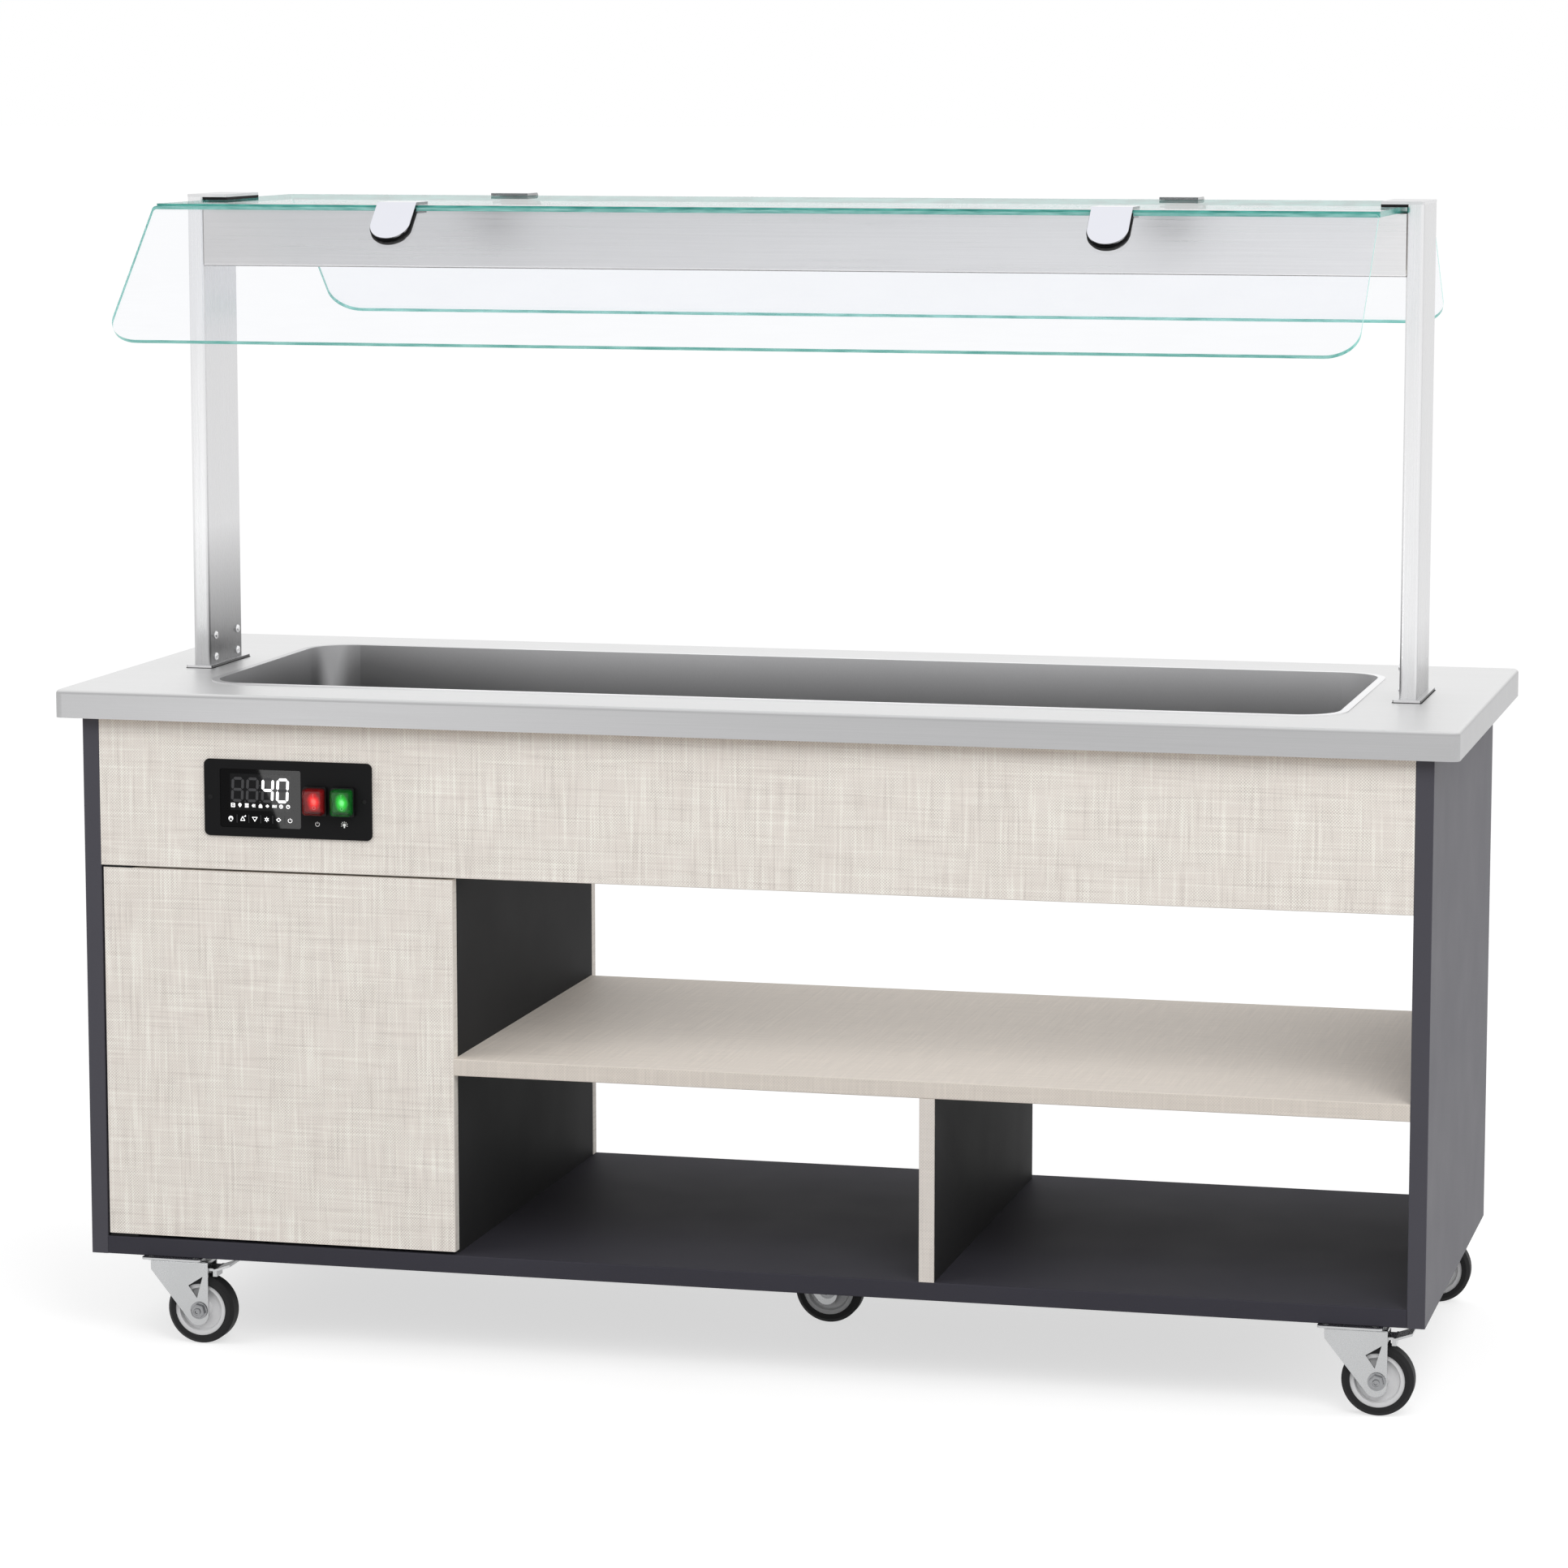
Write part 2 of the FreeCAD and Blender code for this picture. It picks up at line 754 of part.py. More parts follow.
def make_control_bezel():
    plate = panel_box(0.0, bezel_length, bezel_height, bezel_front, -body_half_y, bezel_corner_radius)
    outline = []
    for edge in plate.Edges:
        if max(abs(vertex.Y - bezel_front) for vertex in edge.Vertexes) < 1e-6:
            outline.append(edge)
    plate = plate.makeFillet(bezel_edge_radius, outline)
    window = panel_box(display_offset_x, display_length + 2 * display_fit, display_height + 2 * display_fit,
                       bezel_front, -body_half_y, display_corner_radius + display_fit)
    plate = plate.cut(window)
    for offset in switch_offsets():
        plate = plate.cut(panel_box(offset, switch_length, switch_height, bezel_front, -body_half_y,
                                    switch_corner_radius))
    return plate


def make_display_module():
    front = bezel_front + display_recess
    flange_rear = display_flange_thickness - body_half_y
    glass = panel_box(display_offset_x, display_length, display_height, front, -body_half_y,
                      display_corner_radius)
    flange = panel_box(display_offset_x, display_length + 2 * display_flange_reach,
                       panel_cutout_height - 2 * display_flange_gap, -body_half_y, flange_rear,
                       display_corner_radius)
    case = panel_box(display_offset_x, display_length - 2 * display_case_inset,
                     display_height - 2 * display_case_inset, flange_rear, display_depth - body_half_y,
                     display_corner_radius)
    return glass.fuse([flange, case]).removeSplitter()


rocker_axis_y = -body_half_y - rocker_axis_reach
rocker_length = switch_length - 2 * switch_wall_side - 2 * rocker_side_gap


def make_switch_housings():
    housings = []
    cavity_height = 2 * (rocker_radius + rocker_sweep_gap)
    for offset in switch_offsets():
        case = panel_box(offset, switch_length, switch_height, bezel_front - switch_rim,
                         switch_depth - body_half_y, switch_corner_radius)
        cavity = panel_box(offset, switch_length - 2 * switch_wall_side, cavity_height,
                           bezel_front - switch_rim, switch_depth - switch_rear_wall - body_half_y,
                           switch_cavity_radius)
        bore_length = switch_length - 2 * rocker_bore_wall
        start = Vector(panel_centre_x + offset - bore_length / 2, rocker_axis_y, panel_z)
        bores = cylinder(rocker_pin_radius + running_clearance, start, X_AXIS, bore_length)
        housings.append(case.cut(cavity).cut(bores))
    return Part.makeCompound(housings)


def make_rocker(offset):
    """Rocker with round ends, tilted to its switched-on side about its two pins."""
    centre = panel_centre_x + offset
    x0 = centre - rocker_length / 2
    x1 = centre + rocker_length / 2
    axis_point = Vector(x0, rocker_axis_y, panel_z)
    disc = cylinder(rocker_radius, axis_point, X_AXIS, rocker_length)
    front = rocker_axis_y - bezel_thickness
    outline = [
        (front - rocker_valley, panel_z),
        (front - rocker_crown, panel_z + rocker_radius),
        (rocker_axis_y + rocker_back, panel_z + rocker_radius),
        (rocker_axis_y + rocker_back, panel_z - rocker_radius),
        (front - rocker_crown, panel_z - rocker_radius),
    ]
    block = profile_along_x(outline, x0, x1).common(disc)
    pin_reach = rocker_side_gap + switch_wall_side - rocker_pin_wall
    pin_start = axis_point - X_AXIS * pin_reach
    pins = cylinder(rocker_pin_radius, pin_start, X_AXIS, rocker_length + 2 * pin_reach)
    rocker = block.fuse(pins)
    rocker.rotate(axis_point, X_AXIS, rocker_tilt)
    return rocker


def rocker_reach():
    """Farthest that a tilted rocker's outer corner stands in front of its pins."""
    valley = bezel_thickness + rocker_valley
    rise = rocker_crown - rocker_valley
    square = rise * rise + rocker_radius * rocker_radius
    root = math.sqrt((valley * rise) ** 2 - square * (valley * valley - rocker_radius * rocker_radius))
    share = (root - valley * rise) / square
    corner = math.atan2(share * rocker_radius, valley + share * rise)
    return rocker_radius * math.cos(max(corner - math.radians(rocker_tilt), 0.0))


def bevelled_panel_box(offset_x, length, height, y0, y1, radius, bevel):
    """Panel box whose front face has a bevelled edge."""
    shape = panel_box(offset_x, length, height, y0, y1, radius)
    face_edges = []
    for edge in shape.Edges:
        if max(abs(vertex.Y - y0) for vertex in edge.Vertexes) < 1e-6:
            face_edges.append(edge)
    return shape.makeChamfer(bevel, face_edges)


def make_splash_hoods():
    hoods = []
    inner_front = rocker_axis_y - rocker_reach() - hood_gap
    rear = bezel_front - switch_rim
    hood_length = switch_length - 2 * hood_inset
    hood_height = switch_height - 2 * hood_inset
    # The bevelled wall is as thick as the others.
    inner_bevel = hood_bevel - hood_wall * (2 - math.sqrt(2))
    for offset in switch_offsets():
        outside = bevelled_panel_box(offset, hood_length, hood_height, inner_front - hood_wall, rear,
                                     hood_corner_radius, hood_bevel)
        inside = bevelled_panel_box(offset, hood_length - 2 * hood_wall, hood_height - 2 * hood_wall,
                                    inner_front, rear, hood_corner_radius - hood_wall, inner_bevel)
        hoods.append(outside.cut(inside))
    return Part.makeCompound(hoods)


# Service compartment fittings

gland_x = gland_from_side - bay_half_x
gland_z = floor_top + gland_above_bottom


def make_terminal_box():
    z0 = floor_top + terminal_above_bottom
    x0 = -bay_half_x
    split = x0 + terminal_depth - terminal_lid
    y0 = -terminal_width / 2
    base = bar_along_x(x0, split, y0, y0 + terminal_width, z0, z0 + terminal_height, terminal_corner_radius)
    lid = bar_along_x(split, x0 + terminal_depth, y0 - terminal_lid_overhang,
                      y0 + terminal_width + terminal_lid_overhang, z0 - terminal_lid_overhang,
                      z0 + terminal_height + terminal_lid_overhang, terminal_corner_radius)
    return base.fuse(lid)


def make_cable_gland():
    inner_end = -gland_nut_thickness - gland_thread_reach
    flange_end = front_thickness + gland_flange_thickness
    outline = [
        (gland_bore_radius, inner_end),
        (gland_thread_radius, inner_end),
        (gland_thread_radius, front_thickness),
        (gland_dome_radius, front_thickness),
        (gland_dome_radius, flange_end + gland_dome_shoulder),
        (gland_bore_radius + gland_lip, flange_end + gland_dome_length),
        (gland_bore_radius, flange_end + gland_dome_length),
    ]
    centre = Vector(gland_x, bay_half_y, gland_z)
    body = revolved(outline, centre, Y_AXIS, X_AXIS)
    bore = cylinder(gland_bore_radius, centre, Y_AXIS, front_thickness + gland_flange_thickness)
    flange = hexagon(gland_flange_radius, centre + Y_AXIS * front_thickness, Y_AXIS, gland_flange_thickness)
    nut_start = centre - Y_AXIS * gland_nut_thickness
    nut = hexagon(gland_flange_radius, nut_start, Y_AXIS, gland_nut_thickness)
    nut = nut.cut(cylinder(gland_thread_radius, nut_start, Y_AXIS, gland_nut_thickness))
    return body.fuse([flange.cut(bore), nut])


# Posts, caps and lamp beam

def make_right_post():
    half = post_depth / 2
    tube = slab(post_inner_x, post_outer_x, -half, half, post_bottom, post_top, post_corner_radius)
    bore = slab(post_inner_x + post_wall, post_outer_x - post_wall, post_wall - half, half - post_wall,
                post_bottom, post_top, post_corner_radius - post_wall)
    tube = tube.cut(bore)
    for side in (-1, 1):
        for row in range(2):
            z = post_bottom + post_hole_above_base + row * post_hole_spacing_z
            start = Vector(post_inner_x, side * post_hole_spacing_y / 2, z)
            tube = tube.cut(cylinder(post_hole_radius, start, X_AXIS, post_width))
    return tube


def make_post_bases():
    middle = (post_inner_x + post_outer_x) / 2
    plate = slab(middle - base_length / 2, middle + base_length / 2, -base_depth / 2, base_depth / 2,
                 worktop_height, post_bottom, base_corner_radius)
    return both_ends(plate)


def make_post_caps():
    plate = slab(post_inner_x - cap_reach, post_outer_x, -post_depth / 2, post_depth / 2,
                 post_top, post_top + cap_thickness, cap_corner_radius)
    return both_ends(plate)


def make_cap_gaskets():
    pad = slab(post_inner_x - cap_reach, post_inner_x, -post_depth / 2, post_depth / 2,
               glass_top, post_top, gasket_corner_radius)
    return both_ends(pad)


def make_lamp_beam():
    half = post_depth / 2
    outside = bar_along_x(-post_inner_x, post_inner_x, -half, half, beam_bottom, beam_top, beam_fold_radius)
    inside = bar_along_x(-post_inner_x, post_inner_x, beam_sheet - half, half - beam_sheet,
                         beam_bottom + beam_sheet, beam_top - beam_sheet, beam_fold_radius - beam_sheet)
    slot = box(-post_inner_x, post_inner_x, beam_lip - half, half - beam_lip,
               beam_bottom, beam_bottom + beam_sheet)
    return outside.cut(inside).cut(slot)


def make_lamp_diffuser():
    half = post_depth / 2 - beam_lip + diffuser_bearing
    end = post_inner_x - diffuser_end_gap
    low = beam_bottom + beam_sheet
    return slab(-end, end, -half, half, low, low + diffuser_thickness, diffuser_corner_radius)


def make_led_bar():
    end = post_inner_x - led_end_gap
    high = beam_top - beam_sheet
    radii = [led_bar_corner, led_bar_corner, 0.0, 0.0]
    face = rounded_outline(-led_bar_width / 2, led_bar_width / 2, high - led_bar_height, high, radii,
                           lambda u, v: Vector(-end, u, v))
    return face.extrude(X_AXIS * (2 * end))


# Glass canopy. A side pane is drawn flat and tilted about the line where its outer face
# meets the upper face of the top pane.

bend_y = -glass_half_y - glass_joint_gap
bend_z = glass_top


def tilted(shape):
    """Lay a flat shape (run along +Y, depth along +Z) down the front slope, inward from the outer face."""
    shape.rotate(ORIGIN, X_AXIS, 180.0 + math.degrees(slant))
    shape.translate(Vector(0, bend_y, bend_z))
    return shape


def make_top_glass():
    return slab(-glass_half_x, glass_half_x, -glass_half_y, glass_half_y, glass_bottom, glass_top,
                top_glass_corner_radius)


def make_front_glass():
    length = math.hypot(side_glass_run, side_glass_drop)
    radii = [side_glass_top_radius] * 2 + [side_glass_corner_radius] * 2
    face = rounded_outline(-glass_half_x, glass_half_x, glass_edge_setback, length, radii,
                           lambda u, v: Vector(u, v, 0))
    return tilted(face.extrude(Z_AXIS * side_glass_thickness))


def clamp_flap(start, length, z0, z1):
    """Tongue with a half-round end."""
    half = clamp_width / 2
    end_radius = min(half, length - start) - 0.01
    radii = [0.0, 0.0, end_radius, end_radius]
    face = rounded_outline(-half, half, start, length, radii, lambda u, v: Vector(u, v, z0))
    return face.extrude(Z_AXIS * (z1 - z0))


def make_clamp():
    """Bent clamp at x = 0: outer leaf over both panes, inner leaf below, joined through the glass joint."""
    half = clamp_width / 2
    plate = slab(-half, half, bend_y, -glass_half_y + clamp_plate_reach, glass_top + clamp_liner,
                 glass_top + clamp_liner + clamp_leaf, 0.0)
    flap = tilted(clamp_flap(0.0, clamp_flap_length, -clamp_liner - clamp_leaf, -clamp_liner))
    barrel = cylinder(clamp_liner + clamp_leaf, Vector(-half, bend_y, bend_z), X_AXIS, clamp_width)
    inner_face = glass_bottom - clamp_liner
    web_front = -glass_half_y - clamp_web_gap - clamp_web
    web = box(-half, half, web_front, web_front + clamp_web,
              inner_face - clamp_inner_leaf / 2, glass_top + clamp_liner)
    inner_plate = box(-half, half, web_front, clamp_inner_reach - glass_half_y,
                      inner_face - clamp_inner_leaf, inner_face)
    depth = side_glass_thickness + clamp_liner
    inner_flap = clamp_flap(glass_edge_setback - clamp_flap_lap, clamp_flap_length, depth,
                            depth + clamp_inner_leaf)
    slot_near = clamp_slot_from_bend - clamp_slot_width / 2
    slot_far = slot_near + clamp_slot_width
    for side in (-1, 1):
        slot_left = (side * clamp_slot_spacing - clamp_slot_length) / 2
        slot = slab(slot_left, slot_left + clamp_slot_length, slot_near, slot_far,
                    depth, depth + clamp_inner_leaf, clamp_slot_radius)
        inner_flap = inner_flap.cut(slot)
    inner_flap = tilted(inner_flap)
    return plate.fuse([flap, barrel, web, inner_plate, inner_flap]).removeSplitter()


def make_front_clamps():
    clamp = make_clamp()
    clamp.translate(X_AXIS * clamp_x)
    return both_ends(clamp)


# Casters, drawn with the swivel axis at x = y = 0 and the wheel trailing to +X

def make_caster_plate():
    half_x = caster_plate_length / 2
    half_y = caster_plate_width / 2
    plate_bottom = caster_height - caster_plate_thickness
    cup_bottom = plate_bottom - cup_height
    plate = slab(-half_x, half_x, -half_y, half_y, plate_bottom, caster_height, caster_plate_radius)
    for x in (caster_slot_inset - half_x, half_x - caster_slot_inset):
        for y in (caster_slot_inset - half_y, half_y - caster_slot_inset):
            plate = plate.cut(cylinder(caster_slot_radius, Vector(x, y, plate_bottom), Z_AXIS,
                                       caster_plate_thickness))
    head_top = fork_top - fork_bridge - end_play
    outline = [
        (0.0, plate_bottom),
        (cup_radius, plate_bottom),
        (cup_radius, cup_bottom),
        (kingpin_radius, cup_bottom),
        (kingpin_radius, head_top),
        (kingpin_head_radius, head_top),
        (kingpin_head_radius, head_top - kingpin_head_height),
        (0.0, head_top - kingpin_head_height),
    ]
    return plate.fuse(revolved(outline, ORIGIN, Z_AXIS, X_AXIS))


def fork_side():
    """Outline of a fork's side plate: upright rear edge, leaning front edge tangent to the eye."""
    eye_x = fork_rear - fork_eye_radius
    eye_z = wheel_radius - fork_eye_drop
    front_z = fork_top - fork_front_height
    reach = math.hypot(fork_front + eye_x, front_z - eye_z)
    lean = math.atan2(front_z - eye_z, -fork_front - eye_x) + math.acos(fork_eye_radius / reach)
    tangent_x = eye_x + fork_eye_radius * math.cos(lean)
    tangent_z = eye_z + fork_eye_radius * math.sin(lean)
    return [
        (-fork_front, fork_top),
        (fork_rear, fork_top),
        (fork_rear, eye_z),
        (tangent_x, tangent_z),
        (-fork_front, front_z),
    ]


def make_fork(braked):
    """Pressed fork with its bearing race and axle, and the pedal's pin where it has a brake."""
    blank = profile_along_y(fork_side(), -fork_outer, fork_outer)
    shoulders = []
    for edge in level_edges(blank, fork_top):
        if abs(edge.Vertexes[0].Y - edge.Vertexes[1].Y) < 1e-6:
            shoulders.append(edge)
    blank = blank.makeFillet(fork_shoulder_radius, shoulders)
    eye_centre = Vector(fork_rear - fork_eye_radius, -fork_outer, wheel_radius - fork_eye_drop)
    blank = blank.fuse(cylinder(fork_eye_radius, eye_centre, Y_AXIS, 2 * fork_outer))
    slot_top = fork_top - fork_bridge
    reach = caster_trail + wheel_radius
    fork = blank.cut(box(-reach, reach, -fork_inner, fork_inner, 0, slot_top))
    window = [
        (caster_trail + fork_window_rear, wheel_radius + fork_window_top),
        (caster_trail - fork_window_front, wheel_radius + fork_window_shoulder),
        (caster_trail - fork_window_foot, wheel_radius + fork_window_bottom),
    ]
    fork = fork.cut(profile_along_y(window, -fork_outer, fork_outer))
    race = cylinder(race_radius, Vector(0, 0, fork_top), Z_AXIS, race_height)
    race = race.makeChamfer(race_chamfer, level_edges(race, fork_top + race_height))
    bore = cylinder(kingpin_radius + running_clearance, Vector(0, 0, slot_top), Z_AXIS,
                    fork_bridge + race_height)
    axle_start = Vector(caster_trail, -fork_outer, wheel_radius)
    pins = [cylinder(axle_radius, axle_start, Y_AXIS, 2 * fork_outer)]
    for direction in (-1, 1):
        start = Vector(caster_trail, direction * fork_outer, wheel_radius)
        pins.append(hexagon(axle_nut_radius, start, Y_AXIS * direction, axle_nut_thickness))
    if braked:
        pin_start = Vector(pedal_pivot_x, -fork_outer, pedal_pivot_z)
        pins.append(cylinder(pedal_pin_radius, pin_start, Y_AXIS, 2 * fork_outer))
    return fork.fuse(race).cut(bore).fuse(pins).removeSplitter()


def wheel_ring(points):
    return revolved(points, Vector(caster_trail, 0, wheel_radius), Y_AXIS, X_AXIS)


def make_hub():
    boss = fork_inner - hub_end_gap
    bore = axle_radius + running_clearance
    rim = hub_rim_width / 2
    web = hub_web_width / 2
    boss_foot = hub_boss_radius + hub_draft
    rim_inner = hub_radius - hub_rim_wall
    rim_foot = rim_inner - hub_draft
    return wheel_ring([
        (bore, -boss), (hub_boss_radius, -boss), (boss_foot, -web), (rim_foot, -web),
        (rim_inner, -rim), (hub_radius, -rim), (hub_radius, rim), (rim_inner, rim),
        (rim_foot, web), (boss_foot, web), (hub_boss_radius, boss), (bore, boss),
    ])


def make_tyre():
    half = wheel_width / 2
    flank = wheel_radius - tyre_shoulder
    return wheel_ring([
        (hub_radius, -half), (flank, -half), (wheel_radius, tyre_shoulder - half),
        (wheel_radius, half - tyre_shoulder), (flank, half), (hub_radius, half),
    ])


def make_pedal():
    """Brake pedal, released, with its shoe held above the tyre."""
    neck_half = fork_inner - pedal_side_gap
    low = pedal_lift
    high = pedal_lift + pedal_thickness
    barrel = cylinder(pedal_barrel_radius, Vector(0, -neck_half, 0), Y_AXIS, 2 * neck_half)
    neck = box(0, pedal_shoe_end, -neck_half, neck_half, low, high)
    side = [
        (pedal_neck_length, low),
        (pedal_shoe_end, low),
        (pedal_length, low + pedal_rise),
        (pedal_length, high + pedal_rise),
        (pedal_shoe_end, high),
        (pedal_neck_length, high),
    ]
    tread = profile_along_y(side, -pedal_width / 2, pedal_width / 2)
    shoe = box(pedal_shoe_start, pedal_shoe_end, -pedal_shoe_width / 2, pedal_shoe_width / 2,
               -pedal_shoe_drop, high)
    bore = cylinder(pedal_pin_radius + running_clearance, Vector(0, -neck_half, 0), Y_AXIS, 2 * neck_half)
    pedal = barrel.fuse([neck, tread, shoe]).cut(bore).removeSplitter()
    pedal.translate(Vector(pedal_pivot_x, 0, pedal_pivot_z))
    return pedal


def caster_places():
    left = caster_shift_x - caster_pitch_x
    right = caster_shift_x + caster_pitch_x
    return {
        "front_left": Vector(left, -caster_y, 0),
        "front_right": Vector(right, -caster_y, 0),
        "middle": Vector(caster_shift_x, 0, 0),
        "rear_left": Vector(left, caster_y, 0),
        "rear_right": Vector(right, caster_y, 0),
    }


def placed(shape, offset):
    copy = shape.copy()
    copy.translate(offset)
    return copy


def build():
    right_post = make_right_post()
    front_glass = make_front_glass()
    front_clamps = make_front_clamps()
    nodes = {
        "worktop": make_worktop(),
        "worktop_core": make_worktop_core(),
        "well": make_well(),
        "heating_mats": make_heating_mats(),
        "insulation": make_insulation(),
        "well_casing": make_well_casing(),
        "drain_valve": make_drain_valve(),
        "drain_lever": make_drain_lever(),
        "left_side_panel": make_left_side_panel(),
        "right_side_panel": make_right_side_panel(),
        "bottom_panel": make_bottom_panel(),
        "front_fascia": make_front_fascia(),
        "rear_fascia": make_rear_fascia(),
        "left_divider": make_left_divider(),
        "rear_cover": make_rear_cover(),
        "shelf": make_shelf(),
        "lower_divider": make_lower_divider(),
        "lower_divider_edging": make_lower_divider_edging(),
        "service_door": make_service_door(),
        "door_pivots": make_door_pivots(),
        "touch_latch": make_touch_latch(),
        "control_bezel": make_control_bezel(),
        "display_module": make_display_module(),
        "switch_housings": make_switch_housings(),
        "power_rocker": make_rocker(switch_offsets()[0]),
        "light_rocker": make_rocker(switch_offsets()[1]),
        "splash_hoods": make_splash_hoods(),
        "terminal_box": make_terminal_box(),
        "cable_gland": make_cable_gland(),
        "right_post": right_post,
        "left_post": mirrored(right_post, X_AXIS),
        "post_bases": make_post_bases(),
        "post_caps": make_post_caps(),
        "cap_gaskets": make_cap_gaskets(),
        "lamp_beam": make_lamp_beam(),
        "lamp_diffuser": make_lamp_diffuser(),
        "led_bar": make_led_bar(),
        "top_glass": make_top_glass(),
        "front_glass": front_glass,
        "rear_glass": mirrored(front_glass, Y_AXIS),
        "front_clamps": front_clamps,
        "rear_clamps": mirrored(front_clamps, Y_AXIS),
    }
    plate = make_caster_plate()
    plain_fork = make_fork(False)
    braked_fork = make_fork(True)
    hub = make_hub()
    tyre = make_tyre()
    pedal = make_pedal()
    places = caster_places()
    nodes["caster_plates"] = Part.makeCompound([placed(plate, place) for place in places.values()])
    for name, place in places.items():
        braked = name.startswith("front")
        nodes[name + "_fork"] = placed(braked_fork if braked else plain_fork, place)
        nodes[name + "_hub"] = placed(hub, place)
        nodes[name + "_tyre"] = placed(tyre, place)
        if braked:
            nodes[name + "_pedal"] = placed(pedal, place)
    return nodes


os.makedirs("parts", exist_ok=True)
for node_name, node_shape in build().items():
    node_shape.exportStep("parts/" + node_name + ".step")
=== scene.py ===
import json
import math

import bmesh
import bpy
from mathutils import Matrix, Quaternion, Vector
from mathutils.bvhtree import BVHTree


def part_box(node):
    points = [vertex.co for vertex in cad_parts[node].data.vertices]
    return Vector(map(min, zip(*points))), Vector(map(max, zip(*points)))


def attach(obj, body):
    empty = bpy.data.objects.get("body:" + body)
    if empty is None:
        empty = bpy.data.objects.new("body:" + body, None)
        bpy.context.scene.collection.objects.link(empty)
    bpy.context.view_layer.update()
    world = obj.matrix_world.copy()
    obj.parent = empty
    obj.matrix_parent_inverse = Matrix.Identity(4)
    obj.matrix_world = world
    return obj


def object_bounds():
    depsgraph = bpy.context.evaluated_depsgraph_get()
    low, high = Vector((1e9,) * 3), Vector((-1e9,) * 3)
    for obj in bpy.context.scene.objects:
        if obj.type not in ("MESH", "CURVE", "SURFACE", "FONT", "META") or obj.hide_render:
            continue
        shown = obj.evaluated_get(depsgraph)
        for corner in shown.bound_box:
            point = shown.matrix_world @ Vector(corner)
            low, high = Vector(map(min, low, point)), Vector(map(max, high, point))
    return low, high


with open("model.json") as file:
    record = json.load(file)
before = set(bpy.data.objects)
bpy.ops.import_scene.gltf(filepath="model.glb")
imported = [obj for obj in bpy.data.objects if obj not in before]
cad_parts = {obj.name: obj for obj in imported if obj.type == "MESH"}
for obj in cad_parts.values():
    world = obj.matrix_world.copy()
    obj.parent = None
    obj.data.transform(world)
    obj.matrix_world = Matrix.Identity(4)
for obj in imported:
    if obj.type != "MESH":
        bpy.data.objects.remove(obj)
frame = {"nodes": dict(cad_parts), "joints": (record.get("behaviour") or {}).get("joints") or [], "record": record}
nodes = frame["nodes"]
cad_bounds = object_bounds()
scene = bpy.context.scene
scene.view_settings.view_transform = "Standard"

MM = 0.001
WHEELS = ["front_left", "front_right", "middle", "rear_left", "rear_right"]


# Materials


def srgb(red, green, blue):
    """A colour written in 0 to 255 steps, as the linear values that shaders use."""
    linear = []
    for value in (red, green, blue):
        share = value / 255
        linear.append(share / 12.92 if share <= 0.04045 else ((share + 0.055) / 1.055) ** 2.4)
    return (*linear, 1.0)


def shaded(colour, factor):
    """The colour times a factor, no lighter than white."""
    return tuple(min(1.0, channel * factor) for channel in colour[:3]) + (1.0,)


